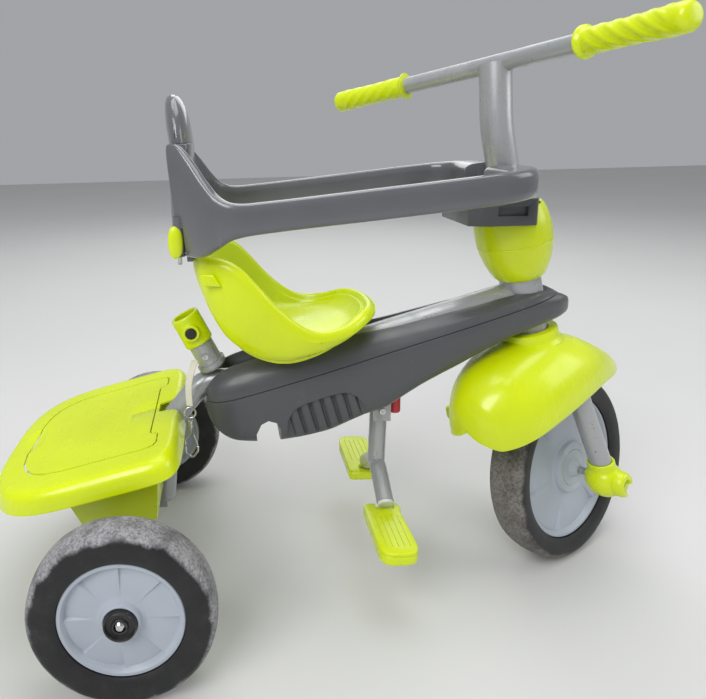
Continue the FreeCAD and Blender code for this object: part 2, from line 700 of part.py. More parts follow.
def backrest_group():
    """The grey backrest band, its pointed top and the two hinge pins at its edges."""
    band = lofted([(56.0, frame_half - 4, 450.0, 574.0), (63.0, frame_half, 450.0, 575.0),
                   (78.0, frame_half, 451.0, 566.0), (84.0, frame_half - 4, 453.0, 556.0)], 6.0)
    band = band.fuse(box((72, -40, 436), (80, 40, 460)))
    pins = []
    knuckle_low = 452.0
    knuckle_high = 482.0
    for side in (-1, 1):
        hinge = side * bar_hinge_half
        bridge = box((60, min(side * 50, hinge), knuckle_low), (72, max(side * 50, hinge), knuckle_high))
        band = band.fuse(bridge).fuse(rod((bar_hinge_x, hinge, knuckle_low),
                                          (bar_hinge_x, hinge, knuckle_high), 6.5))
        band = band.cut(rod((bar_hinge_x, hinge, knuckle_low - 8), (bar_hinge_x, hinge, knuckle_high + 8),
                            hinge_pin_radius + 0.02))
        pins.append(rod((bar_hinge_x, hinge, knuckle_low - 12), (bar_hinge_x, hinge, knuckle_high + 12),
                        hinge_pin_radius))
    save("backrest_band", max(band.Solids, key=lambda solid: solid.Volume))
    save("hinge_pins", *pins)
    wires = []
    for z, middle, half_depth, half_width in backrest_top_levels:
        ellipse = Part.Ellipse(V(middle, half_width, z), V(middle + half_depth, 0, z), V(middle, 0, z))
        wires.append(Part.Wire(ellipse.toShape()))
    save("backrest_top", Part.makeLoft(wires, True, False))
    caps = []
    for side in (-1, 1):
        hinge = side * bar_hinge_half
        cap = sleeve((bar_hinge_x, hinge, 453), (bar_hinge_x, hinge, 481), 8.8, 6.5 + press_gap)
        cap = cap.common(box((bar_hinge_x - 20, min(hinge, hinge + side * 20), 440),
                             (bar_hinge_x + 20, max(hinge, hinge + side * 20), 490)))
        caps.append(cap)
    save("hinge_caps", *caps)


def safety_arm():
    """The right half of the safety bar: a hinge plate, the long arm and half the crossbar."""
    hinge = bar_hinge_half
    plate_points = [(64, 60), (72, 60), (100, 84), (118, 99), (118, 117), (108, 116), (82, 96), (62, 74)]
    plate = plan_slab([(x, -y) for x, y in plate_points], 449.0, 560.0)
    flare = Part.makePolygon([V(40, -140, 571), V(75, -140, 562), V(92, -140, 540), V(104, -140, 522),
                              V(122, -140, arm_top(120)), V(140, -140, arm_top(120)), V(140, -140, 640),
                              V(40, -140, 640), V(40, -140, 571)])
    flare = Part.Face(flare).extrude(V(0, 110, 0))
    plate = plate.cut(flare)
    under = Part.makePolygon([V(86, -140, 440), V(104, -140, 462), V(118, -140, arm_top(118) - bar_arm_depth),
                              V(150, -140, arm_top(150) - bar_arm_depth), V(150, -140, 430),
                              V(86, -140, 430), V(86, -140, 440)])
    plate = plate.cut(Part.Face(under).extrude(V(0, 110, 0)))
    inner = bar_arm_half - bar_arm_width
    outer = bar_arm_half
    plan = [(108, -outer + 2), (108, -inner), (410, -inner), (422, -inner + 8), (428, -inner + 24),
            (428, -27), (466, -27), (474, -42), (475, -64), (468, -88), (453, -108), (430, -outer),
            (200, -outer)]
    arm = plan_slab(plan, 440.0, 620.0)
    band = Part.makePolygon([V(100, -160, arm_top(100) - bar_arm_depth),
                             V(470, -160, arm_top(470) - bar_arm_depth),
                             V(470, -160, arm_top(470)), V(100, -160, arm_top(100)),
                             V(100, -160, arm_top(100) - bar_arm_depth)])
    arm = arm.common(Part.Face(band).extrude(V(0, 160, 0)))
    whole = plate.fuse(arm).removeSplitter()
    knuckle_low, knuckle_high = 452.0, 482.0
    whole = whole.cut(Part.makeCylinder(9.5, knuckle_high - knuckle_low + 1,
                                        V(bar_hinge_x, -hinge, knuckle_low - 0.5)))
    for low, high in ((449.0, knuckle_low - part_gap), (knuckle_high + part_gap, 496.0)):
        whole = whole.fuse(Part.makeCylinder(6.5, high - low, V(bar_hinge_x, -hinge, low)))
    whole = whole.cut(Part.makeCylinder(hinge_pin_radius + running_gap, 120, V(bar_hinge_x, -hinge, 430)))
    return max(whole.removeSplitter().Solids, key=lambda solid: solid.Volume)


def safety_bar_group():
    """Both halves of the safety bar and the clasp on the head cover that holds them."""
    right = safety_arm()
    save("safety_arm_right", right)
    save("safety_arm_left", mirrored(right))
    clasp_top = arm_top(405) - bar_arm_depth - part_gap
    clasp = plan_slab([(408, -44), (430, -52), (486, -52), (500, -30), (500, 30), (486, 52), (430, 52),
                       (408, 44)], clasp_top - 32, clasp_top)
    clasp = clasp.cut(placed(Part.makeCylinder(45.5 + press_gap, 400, V(0, 0, 300)), steer_place))
    clasp = max(clasp.Solids, key=lambda solid: solid.Volume)
    save("bar_clasp", clasp)


# ---- footrest ----------------------------------------------------------------------------------------
def footrest_group():
    """The folding footrest: a bent tube, a cross tube, two lime plates and end caps."""
    px, pz = footrest_pivot
    low_z = pz - footrest_drop
    radius = footrest_tube_radius
    rear, front = px - bracket_half, px + bracket_half
    bracket = box((rear, -20, pz - 14), (front, -13.5, pz + 32)).fuse(
        box((rear, 13.5, pz - 14), (front, 20, pz + 32))).fuse(
        box((rear, -20, pz + 26), (front, 20, pz + 32)))
    pin_bore = rod((px, -30, pz), (px, 30, pz), 4 + running_gap)
    save("footrest_bracket", bracket.cut(pin_bore))
    save("footrest_pin", rod((px, -22, pz), (px, 22, pz), 4))
    tip_x = px - 2
    upright = rod((px, 0, pz + 3), (tip_x, 0, low_z + branch_rise - 6), radius + 0.3)
    cross = bent_rod([(tip_x, -branch_half, low_z), (tip_x, 0, low_z + branch_rise),
                      (tip_x, branch_half, low_z)], branch_bend, radius)
    eye = rod((px, -12.5, pz), (px, 12.5, pz), 12)
    tube = cross.fuse([upright, eye]).removeSplitter().cut(pin_bore)
    caps = []
    save("footrest_tube", tube)
    for side, name in ((-1, "right"), (1, "left")):
        direction = V(0, side * branch_half, -branch_rise).normalize()
        end = V(tip_x, side * branch_half, low_z)
        caps.append(rod(end + direction * 0.2, end + direction * 4, radius - 1))
        inner = side * plate_inner
        outer = side * (plate_inner + plate_length)
        middle_z = low_z - 12
        plate = box((tip_x - 4 - plate_width / 2, min(inner, outer), middle_z - plate_thickness),
                    (tip_x - 4 + plate_width / 2, max(inner, outer), middle_z + 4))
        plate = plate.makeFillet(4.0, plate.Edges)
        plate = plate.cut(rod(end - direction * 60, end + direction * 22, radius + press_gap))
        save("foot_plate_" + name, max(plate.Solids, key=lambda solid: solid.Volume))
    save("footrest_caps", *caps)


def latch_button():
    """The red button under the cover that frees the footrest."""
    button = rod((latch_x, 0, 216), (latch_x, 0, 252), latch_radius)
    save("latch_button", button.makeFillet(2.0, [button.Edges[-1]]))


# ---- bucket ------------------------------------------------------------------------------------------
lid_slope = math.radians(lid_slope_deg)


def lid_top(x):
    """Height of the lid's flat top at x."""
    return lid_front_z + (x - lid_front_x) * math.tan(lid_slope)


def sheared(shape, height_at):
    """Lean a shape drawn at height zero so that its base follows the lid's slope."""
    place = FreeCAD.Placement(V(0, 0, height_at(0)), FreeCAD.Rotation(V(0, 1, 0), -lid_slope_deg))
    return placed(shape, place)


def bucket_group():
    """The rear bucket, its lid, the hatch in the lid and the hatch's hinge pin."""
    stretch = 1 / math.cos(lid_slope)
    outline = [(lid_front_x, 0), (lid_front_x, lid_half - 8), (lid_front_x - 8, lid_half),
               (-60, lid_half + 5), (-112, lid_half), (-140, lid_half - 22), (-160, lid_half - 62),
               (lid_rear_x, 0)]
    full = [(x * stretch, y) for x, y in outline] + [(x * stretch, -y) for x, y in reversed(outline[1:-1])]
    cx = sum(x for x, y in full) / len(full)

    def drawn_in(inset):
        return [(x - inset if x > cx else x + inset, y - math.copysign(inset, y) if y else 0)
                for x, y in full]

    def hatch_plan(front, inset):
        half = hatch_half - inset
        rear = hatch_rear_x + inset
        side = [(front, half), (rear + 60, half), (rear + 14, half - 40), (rear, half - 80)]
        return side + [(x, -y) for x, y in reversed(side)]

    slab = plan_slab(full, -lid_skirt, 0)
    room = plan_slab(drawn_in(2.5), -lid_skirt - 1, -3.0)
    lid = slab.cut(room)
    hatch_low = -hatch_thickness - 1.0
    recess = plan_slab(hatch_plan(hatch_front_x, 0.0), hatch_low, 5)
    opening = box((opening_rear_x, -hatch_half + 8, -20), (hatch_front_x - 14, hatch_half - 8, 5))
    tray = plan_slab(hatch_plan(hatch_front_x + 6, -3.0), hatch_low - 2.5, -1)
    lid = lid.fuse(tray).cut(recess).cut(opening)
    tube_notch = plan_slab([(24, -17), (80, -22), (80, 22), (24, 17)], -lid_skirt - 2, 5)
    lid = lid.cut(tube_notch)
    hinge_x = hatch_front_x - 5.0
    hinge_z = -2.6
    pin = rod((hinge_x, -hatch_half - 2, hinge_z), (hinge_x, hatch_half + 2, hinge_z), 1.5)
    lid = lid.cut(rod((hinge_x, -hatch_half - 3, hinge_z), (hinge_x, hatch_half + 3, hinge_z), 1.52))
    save("bucket_lid", sheared(max(lid.Solids, key=lambda solid: solid.Volume), lid_top))
    hatch = plan_slab(hatch_plan(hinge_x, 1.0), -hatch_thickness - 0.6, -0.6)
    hatch = hatch.fuse(rod((hinge_x, -hatch_half + 1, hinge_z), (hinge_x, hatch_half - 1, hinge_z), 2.2))
    hatch = hatch.cut(rod((hinge_x, -hatch_half, hinge_z), (hinge_x, hatch_half, hinge_z),
                          1.5 + running_gap))
    save("lid_hatch", sheared(hatch.removeSplitter(), lid_top))
    save("hatch_pin", sheared(pin, lid_top))

    def bucket_loft(inset, extra):
        wires = []
        for low_height, half, front, rear in ((0.0, bucket_bottom_half, 27.0, -62.0),
                                              (1.0, bucket_top_half, 36.0, -84.0)):
            points = []
            for x, y in ((rear, -half), (front, -half), (front, half), (rear, half)):
                top = lid_top(x) - 3.6 + extra
                base = 128.0 + (x + 62) * 0.06 + inset
                z = base if low_height == 0.0 else top
                points.append(V(x - math.copysign(inset, x - cx), y - math.copysign(inset, y), z))
            wires.append(Part.makePolygon(points + points[:1]))
        return Part.makeLoft(wires, True, True)

    outer = bucket_loft(0.0, 0.0)
    inner = bucket_loft(bucket_wall, 1.0)
    groove = box((6, -21, 100), (70, 21, 260))
    lining = box((6 - bucket_wall, -21 - bucket_wall, 100), (70, 21 + bucket_wall, 260))
    bucket = outer.cut(groove).cut(inner.cut(lining))
    bucket = bucket.cut(box((-200, -200, 226), (200, 200, 300)))
    bucket = bucket.cut(sheared(box((-200, -200, -3.2), (200, 200, 30)), lid_top))
    bucket = bucket.cut(sheared(box((hatch_rear_x - 4, -hatch_half - 4, -8.0),
                                    (hatch_front_x + 7, hatch_half + 4, 30)), lid_top))
    foot = box((-18, -60, rear_wheel_radius + axle_tube_radius + 0.05), (18, -44, 131.5))
    bucket = bucket.fuse([foot, mirrored(foot)])
    save("bucket", max(bucket.Solids, key=lambda solid: solid.Volume))


# ---- strap -------------------------------------------------------------------------------------------
strap_width = 9.0
strap_points = [(76, -24, 306), (72, -33, 297), (68, -38, 284), (67, -40, 269), (68, -41, 253)]


def strap_group():
    """The webbing strap behind the socket and the wire snap hook that hangs on it."""
    points = [V(*point) for point in strap_points]
    edges = []
    start = points[0]
    for before, corner, after in zip(points, points[1:], points[2:]):
        run = min((corner - before).Length, (after - corner).Length)
        back = (before - corner).normalize()
        ahead = (after - corner).normalize()
        half_turn = (math.pi - back.getAngle(ahead)) / 2
        reach = 0.45 * run
        bend = reach / math.tan(half_turn)
        middle = (back + ahead).normalize()
        edges.append(Part.LineSegment(start, corner + back * reach).toShape())
        edges.append(Part.Arc(corner + back * reach, corner + middle * (bend / math.cos(half_turn) - bend),
                              corner + ahead * reach).toShape())
        start = corner + ahead * reach
    edges.append(Part.LineSegment(start, points[-1]).toShape())
    path = Part.Wire(edges)
    ring = Part.Wire(Part.makeCircle(strap_width / 2, points[0], points[1] - points[0]))
    strap = path.makePipeShell([ring], True, False)
    save("strap", strap)
    x, y, z = strap_points[-1]
    eye = Part.makeTorus(7.0, 1.2, V(x, y, z - 9.5), V(0, 1, 0))
    save("strap_ring", eye)
    top = z - 20.0
    swivel = rod((x, y, top - 9), (x, y, top), 3.2)
    save("hook_swivel", swivel)
    wire = 1.4
    loop = bent_rod([(x, y, top - 9.2), (x, y, top - 16), (x - 8, y, top - 26), (x - 7, y, top - 44),
                     (x + 1, y, top - 51), (x + 8, y, top - 42), (x + 8.2, y, top - 36)], 3.0, wire)
    save("snap_hook", loop)
    gate_x = x + 2.6
    gate_z = top - 17.5
    gate = rod((gate_x, y, gate_z), (x + 8.0, y, top - 34.0), 1.1)
    gate = gate.fuse(rod((gate_x, y - 1.5, gate_z), (gate_x, y + 1.5, gate_z), 1.3))
    save("hook_gate", gate)


rear_axle_group()
rear_wheel(-1, "right")
rear_wheel(1, "left")
frame_group()
handle_socket_group()
cover_group()
front_wheel_group()
fork_group()
fender()
handlebar_group()
pedal_group()
head_cover()
seat_group()
backrest_group()
safety_bar_group()
footrest_group()
latch_button()
bucket_group()
strap_group()
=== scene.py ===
"""The looks of a children's tricycle, built around its packed frame.

Lengths in the tables are millimetres from the middle of the rear axle, with the ground at zero; the
pieces themselves are in metres, in the frame's own place.
"""
import json
import math
from contextlib import contextmanager

import bpy
from bpy.props import FloatProperty, FloatVectorProperty, IntProperty, PointerProperty
from mathutils import Matrix, Vector


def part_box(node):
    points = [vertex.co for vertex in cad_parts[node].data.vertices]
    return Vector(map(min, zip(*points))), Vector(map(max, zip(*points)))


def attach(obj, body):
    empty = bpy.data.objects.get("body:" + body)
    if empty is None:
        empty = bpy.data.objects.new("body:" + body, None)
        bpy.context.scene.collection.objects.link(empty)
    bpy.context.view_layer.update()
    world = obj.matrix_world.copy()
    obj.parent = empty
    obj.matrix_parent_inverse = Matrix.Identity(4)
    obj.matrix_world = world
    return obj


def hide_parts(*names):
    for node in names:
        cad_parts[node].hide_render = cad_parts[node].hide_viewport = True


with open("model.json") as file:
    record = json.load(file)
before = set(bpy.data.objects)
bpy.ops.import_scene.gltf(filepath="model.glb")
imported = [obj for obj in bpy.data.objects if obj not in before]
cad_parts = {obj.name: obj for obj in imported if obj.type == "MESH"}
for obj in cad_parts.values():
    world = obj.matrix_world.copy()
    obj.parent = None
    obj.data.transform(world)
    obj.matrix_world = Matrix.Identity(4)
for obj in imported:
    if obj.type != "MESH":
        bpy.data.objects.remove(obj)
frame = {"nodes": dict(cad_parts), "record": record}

bl_info = {
    "name": "Children's Tricycle",
    "version": (1, 0, 0),
    "blender": (4, 5, 0),
    "location": "View3D > Sidebar > Tricycle",
    "description": "Builds a children's tricycle with a safety bar, a footrest and a rear bucket",
    "category": "Object",
}

MM = 0.001
JOINTS = {joint["name"]: joint for joint in frame["record"]["behaviour"]["joints"]}


# ---- places ------------------------------------------------------------------------------------------
def middle_of(node):
    """The middle of a frame node's box."""
    low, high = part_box(node)
    return (low + high) / 2


def standing(foot, up, side):
    """The place whose own Z is up and own Y is side, at a foot point."""
    up = Vector(up).normalized()
    side = (Vector(side) - up * up.dot(Vector(side))).normalized()
    axes = Matrix((side.cross(up), side, up)).transposed()
    return Matrix.Translation(foot) @ axes.to_4x4()


AXLE_X = middle_of("rear_axle").x
TRIKE = Matrix.Translation((AXLE_X, 0, 0))
STEER_FOOT = Vector(JOINTS["steering"]["pos_m"])
STEER_UP = Vector(JOINTS["steering"]["axis"])
WHEEL_SIDE = Vector(JOINTS["front_wheel_spin"]["axis"])
FRONT_HUB = Vector(JOINTS["front_wheel_spin"]["pos_m"])
HEAD = standing(STEER_FOOT, STEER_UP, (0, 1, 0))
PARKED = standing(STEER_FOOT, STEER_UP, WHEEL_SIDE)
LID_SLOPE = math.radians(14.0)
TUBE_SLOPE = math.radians(16.0)
TUBE_FRONT = (489.0, 370.0)
LID = TRIKE @ Matrix.Translation((0, 0, (240.0 - 55.0 * math.tan(LID_SLOPE)) * MM)) @ Matrix.Rotation(
    -LID_SLOPE, 4, "Y")
UPRIGHT_PLAN = Matrix.Rotation(math.radians(-90), 4, "X")
OTHER_SIDE = Matrix.Scale(-1, 4, (0, 1, 0))


def tube_height(x):
    """Height of the main tube's middle at x."""
    return TUBE_FRONT[1] - (TUBE_FRONT[0] - x) * math.tan(TUBE_SLOPE)


def bar_top(x):
    """Height of the safety bar's top at x."""
    return 511.0 + (x - 120.0) * 0.092


# ---- sums --------------------------------------------------------------------------------------------
def row_at(table, x):
    """The numbers at x on a smooth line through the table, whose rows start with their x."""
    if x <= table[0][0]:
        return list(table[0][1:])
    if x >= table[-1][0]:
        return list(table[-1][1:])
    index = next(i for i in range(len(table) - 1) if table[i + 1][0] >= x)
    last = len(table) - 1
    span = table[index + 1][0] - table[index][0]
    t = (x - table[index][0]) / span
    row = []
    for column in range(1, len(table[0])):
        ends = []
        for here in (index, index + 1):
            low, high = max(here - 1, 0), min(here + 1, last)
            rise = table[high][column] - table[low][column]
            ends.append(rise / (table[high][0] - table[low][0]) * span)
        start, stop = table[index][column], table[index + 1][column]
        row.append((2 * t ** 3 - 3 * t ** 2 + 1) * start + (t ** 3 - 2 * t ** 2 + t) * ends[0]
                   + (3 * t ** 2 - 2 * t ** 3) * stop + (t ** 3 - t ** 2) * ends[1])
    return row


def squared(angle, power):
    """Cosine and sine of a rounded square's corner-heavy circle."""
    cosine, sine = math.cos(angle), math.sin(angle)
    return (math.copysign(abs(cosine) ** (2 / power), cosine),
            math.copysign(abs(sine) ** (2 / power), sine))


def ramp_up(low, high, value):
    """0 below low, 1 above high and smooth between."""
    t = min(max((value - low) / (high - low), 0.0), 1.0)
    return t * t * (3 - 2 * t)


# ---- making pieces -----------------------------------------------------------------------------------
def cleared():
    """Object mode with nothing selected."""
    if bpy.context.mode != "OBJECT":
        bpy.ops.object.mode_set(mode="OBJECT")
    bpy.ops.object.select_all(action="DESELECT")


def picked(piece):
    """Select one piece and make it the active one."""
    cleared()
    piece.select_set(True)
    bpy.context.view_layer.objects.active = piece
    return piece


def named(name):
    """The piece that a primitive has just made, under its own name."""
    piece = bpy.context.object
    piece.name = name
    piece.data.name = name
    return piece


def carried(piece, place):
    """Move the mesh of a piece to a place, if one is given, and keep its faces outwards."""
    if place is not None:
        piece.data.transform(place)
        if place.determinant() < 0:
            piece.data.flip_normals()
    return piece


def settled(piece, place=None):
    """Put a piece's place into its mesh, then move the mesh to another place if one is given."""
    picked(piece)
    bpy.ops.object.transform_apply(location=True, rotation=True, scale=True)
    return carried(piece, place)


@contextmanager
def all_faces_picked(piece):
    """Edit mode on a piece with everything selected."""
    picked(piece)
    bpy.ops.object.mode_set(mode="EDIT")
    bpy.ops.mesh.select_all(action="SELECT")
    yield
    bpy.ops.object.mode_set(mode="OBJECT")


def closed_up(piece, distance=0.00002):
    """Merge the doubles of a piece and turn its faces outwards."""
    with all_faces_picked(piece):
        bpy.ops.mesh.remove_doubles(threshold=distance)
        bpy.ops.mesh.delete_loose(use_verts=True, use_edges=True, use_faces=False)
        bpy.ops.mesh.select_all(action="SELECT")
        bpy.ops.mesh.normals_make_consistent(inside=False)
    return piece


def modified(piece, kind, **settings):
    """Add a modifier with its settings and apply it."""
    picked(piece)
    modifier = piece.modifiers.new(kind.title(), kind)
    for name, value in settings.items():
        setattr(modifier, name, value)
    bpy.ops.object.modifier_apply(modifier=modifier.name)
    return piece


def eased(piece, width, segments=2, angle=30.0):
    """Round the edges sharper than the angle."""
    return modified(piece, "BEVEL", width=width * MM, segments=segments, limit_method="ANGLE",
                    angle_limit=math.radians(angle), harden_normals=False)


def walled(piece, thickness):
    """Give a skin its wall, inwards."""
    return modified(piece, "SOLIDIFY", thickness=thickness * MM, offset=-1.0, use_even_offset=True,
                    use_rim=True)


def smoothed(piece, angle=35.0):
    """Smooth shading, with the edges above the angle kept crisp."""
    picked(piece)
    bpy.ops.object.shade_smooth_by_angle(angle=math.radians(angle))
    return piece


def worked(piece, tool, operation="DIFFERENCE", solver="EXACT"):
    """Cut, join or keep the shared part of a piece and a tool."""
    modified(piece, "BOOLEAN", object=tool, operation=operation, solver=solver)
    bpy.data.objects.remove(tool)
    return piece


def joined(first, *others):
    """Make several pieces one."""
    picked(first)
    for other in others:
        other.select_set(True)
    bpy.ops.object.join()
    return first


def copied(piece, name, place=None):
    """A copy of a piece with its own mesh."""
    twin = bpy.data.objects.new(name, piece.data.copy())
    twin.data.name = name
    bpy.context.scene.collection.objects.link(twin)
    return carried(twin, place)


def from_node(node, name):
    """A piece that starts from a copy of a frame node's mesh."""
    return closed_up(copied(frame["nodes"][node], name), 0.00001)


def block(name, low, high, place=TRIKE):
    """A box between two corners, in millimetres."""
    cleared()
    size = [b - a for a, b in zip(low, high)]
    bpy.ops.mesh.primitive_cube_add(size=1, location=[(a + b) / 2 * MM for a, b in zip(low, high)],
                                    scale=[value * MM for value in size])
    return settled(named(name), place)


def round_bar(name, start, end, radius, place=TRIKE, around=40):
    """A round bar between two points, in millimetres."""
    start, end = Vector(start) * MM, Vector(end) * MM
    turn = (end - start).to_track_quat("Z", "Y").to_euler()
    cleared()
    bpy.ops.mesh.primitive_cylinder_add(vertices=around, radius=radius * MM, depth=(end - start).length,
                                        location=(start + end) / 2, rotation=turn)
    return settled(named(name), place)


def plan_block(name, plan, low, high, place=TRIKE):
    """An upright block on a plan of points, made by extruding a filled ring."""
    cleared()
    bpy.ops.mesh.primitive_circle_add(vertices=len(plan), radius=1, fill_type="NGON")
    piece = named(name)
    for vertex, (x, y) in zip(piece.data.vertices, plan):
        vertex.co = Vector((x, y, low)) * MM
    with all_faces_picked(piece):
        bpy.ops.mesh.extrude_region_move(TRANSFORM_OT_translate={"value": (0, 0, (high - low) * MM)})
    return settled(closed_up(piece), place)


def turned(name, outline, steps=96, place=None):
    """A piece turned about its own Z from a closed outline of (radius, height), in millimetres."""
    cleared()
    bpy.ops.mesh.primitive_circle_add(vertices=len(outline), radius=1, fill_type="NOTHING")
    piece = named(name)
    for vertex, (radius, height) in zip(piece.data.vertices, outline):
        vertex.co = Vector((radius, 0, height)) * MM
    with all_faces_picked(piece):
        bpy.ops.mesh.spin(steps=steps, angle=2 * math.pi, center=(0, 0, 0), axis=(0, 0, 1))
    return carried(closed_up(piece), place)


def skin(name, columns, rows, rule, place=TRIKE):
    """A grid whose point at (u, v), each from 0 to 1, stands where the rule says, in millimetres."""
    cleared()
    bpy.ops.mesh.primitive_grid_add(x_subdivisions=columns, y_subdivisions=rows, size=2)
    piece = named(name)
    for vertex in piece.data.vertices:
        vertex.co = Vector(rule((vertex.co.x + 1) / 2, (vertex.co.y + 1) / 2)) * MM
    return carried(closed_up(piece), place)


def stacked(name, rings, power, around=72, rows=40, place=TRIKE):
    """A closed form through level rings of (height, middle x, half length, half width)."""
    def rule(u, v):
        low, high = rings[0][0], rings[-1][0]
        height = low + (high - low) * v
        middle, half_length, half_width = row_at(rings, height)
        across, along = squared(2 * math.pi * u, power)
        return (middle + half_length * across, half_width * along, height)

    return capped(skin(name, around, rows, rule, place))


def capped(piece):
    """Fill the open ends of a piece."""
    picked(piece)
    bpy.ops.object.mode_set(mode="EDIT")
    bpy.ops.mesh.select_all(action="DESELECT")
    bpy.ops.mesh.select_non_manifold(extend=False, use_wire=False, use_boundary=True, use_multi_face=False,
                                     use_non_contiguous=False, use_verts=False)
    bpy.ops.mesh.edge_face_add()
    bpy.ops.mesh.select_all(action="SELECT")
    bpy.ops.mesh.normals_make_consistent(inside=False)
    bpy.ops.object.mode_set(mode="OBJECT")
    return piece


FINISHES = {}


def fitted(piece, smooth, body, finish, node):
    """Shade a finished piece, and give it its material, the body it rides on and the node it stands for."""
    smoothed(piece, smooth)
    piece.data.materials.clear()
    piece.data.materials.append(FINISHES[finish])
    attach(piece, body)
    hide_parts(node)


# ---- finishes ----------------------------------------------------------------------------------------
class Reading:
    """A number that changes over a surface, on a node's output socket."""

    def __init__(self, tree, socket):
        self.tree = tree
        self.socket = socket

    def combined(self, operation, first, second):
        node = self.tree.nodes.new("ShaderNodeMath")
        node.operation = operation
        for socket, value in zip(node.inputs, (first, second)):
            if isinstance(value, Reading):
                self.tree.links.new(value.socket, socket)
            else:
                socket.default_value = value
        return Reading(self.tree, node.outputs[0])

    def __add__(self, other):
        return self.combined("ADD", self, other)

    def __sub__(self, other):
        return self.combined("SUBTRACT", self, other)

    def __rsub__(self, other):
        return self.combined("SUBTRACT", other, self)

    def __mul__(self, other):
        return self.combined("MULTIPLY", self, other)

    __radd__ = __add__
    __rmul__ = __mul__


class Finish:
    """One material and the nodes behind its shader."""

    def __init__(self, name, **constants):
        self.material = bpy.data.materials.new(name)
        self.material.use_nodes = True
        self.tree = self.material.node_tree
        self.shader = self.tree.nodes["Principled BSDF"]
        for socket, value in constants.items():
            self.shader.inputs[socket.replace("_", " ").title().replace("Ior", "IOR")].default_value = value

    def node(self, kind, settings=None, sockets=None):
        """Any node: its settings first, then the values or links of its sockets."""
        made = self.tree.nodes.new(kind)
        for name, value in (settings or {}).items():
            setattr(made, name, value)
        for key, value in (sockets or {}).items():
            self.feed(made.inputs[key], value)
        return made

    def feed(self, socket, value):
        """Link or set one socket."""
        if isinstance(value, Reading):
            value = value.socket
        if isinstance(value, bpy.types.NodeSocket):
            self.tree.links.new(value, socket)
        else:
            socket.default_value = value

    def place(self, scale=(1, 1, 1)):
        """Object coordinates, stretched by a scale."""
        coordinates = self.node("ShaderNodeTexCoord").outputs["Object"]
        if tuple(scale) == (1, 1, 1):
            return coordinates
        stretched = self.node("ShaderNodeVectorMath", {"operation": "MULTIPLY"}, {0: coordinates, 1: scale})
        return stretched.outputs[0]

    def noise(self, scale, detail=3.0, stretch=(1, 1, 1), roughness=0.5):
        """Cloudy noise between 0 and 1."""
        made = self.node("ShaderNodeTexNoise", {"noise_dimensions": "3D"},
                         {"Vector": self.place(stretch), "Scale": scale, "Detail": detail,
                          "Roughness": roughness})
        return Reading(self.tree, made.outputs["Fac"])

    def ranged(self, value, low, high, first=0.0, last=1.0):
        """Spread the part of a reading between low and high over another range, smoothly."""
        made = self.node("ShaderNodeMapRange", {"interpolation_type": "SMOOTHSTEP"},
                         {"Value": value, "From Min": low, "From Max": high, "To Min": first,
                          "To Max": last})
        return Reading(self.tree, made.outputs["Result"])

    def blended(self, factor, first, second):
        """A colour between two colours."""
        made = self.node("ShaderNodeMix", {"data_type": "RGBA"}, {0: factor, 6: first, 7: second})
        return made.outputs[2]

    def bump(self, height, strength, distance):
        """Small relief on the shader."""
        made = self.node("ShaderNodeBump", None,
                         {"Height": height, "Strength": strength, "Distance": distance})
        self.feed(self.shader.inputs["Normal"], made.outputs["Normal"])

    def set(self, socket, value):
        self.feed(self.shader.inputs[socket], value)


def shade(colour, factor):
    """A colour made lighter or darker."""
    return tuple(channel * factor for channel in colour[:3]) + (1.0,)


def moulded(name, colour, roughness=0.34, coat=0.15, dust=0.12, dust_colour=(0.42, 0.39, 0.34, 1.0)):
    """Moulded plastic with faint flow clouds, hazy handling marks and thin dust."""
    finish = Finish(name, roughness=roughness, coat_weight=coat, coat_roughness=0.12, ior=1.48)
    cloud = finish.noise(7.0, 4.0)
    speck = finish.noise(260.0, 2.0)
    smear = finish.noise(38.0, 5.0, (1, 1, 0.35))
    base = finish.blended(finish.ranged(cloud, 0.3, 0.7), shade(colour, 0.93), shade(colour, 1.04))
    worn = finish.ranged(smear, 0.58, 0.78) * finish.ranged(speck, 0.45, 0.62) * dust
    finish.set("Base Color", finish.blended(worn, base, dust_colour))
    finish.set("Roughness", finish.ranged(smear, 0.3, 0.75, roughness - 0.06, roughness + 0.12))
    finish.bump(finish.noise(900.0, 2.0), 0.06, 0.0004)
    return finish.material


def painted(name, colour, metallic=0.35, roughness=0.32, chips=0.0):
    """Silver paint on steel tube, with fine flake, hazy scuffs and some chips down to grime."""
    finish = Finish(name, roughness=roughness, metallic=metallic, coat_weight=0.3, coat_roughness=0.1)
    flake = finish.noise(1400.0, 1.0)
    scuff = finish.noise(55.0, 6.0, (1, 1, 0.3))
    base = finish.blended(finish.ranged(flake, 0.35, 0.65), shade(colour, 0.92), shade(colour, 1.06))
    rubbed = finish.ranged(scuff, 0.62, 0.72) * 0.35
    tone = finish.blended(rubbed, base, shade(colour, 0.62))
    if chips:
        flaked = finish.ranged(finish.noise(150.0, 4.0, roughness=0.65), 0.66 - chips, 0.70 - chips)
        tone = finish.blended(flaked, tone, (0.16, 0.15, 0.12, 1.0))
    finish.set("Base Color", tone)
    finish.set("Roughness", finish.ranged(scuff, 0.3, 0.8, roughness - 0.08, roughness + 0.16))
    finish.bump(finish.noise(700.0, 2.0), 0.04, 0.0003)
    return finish.material


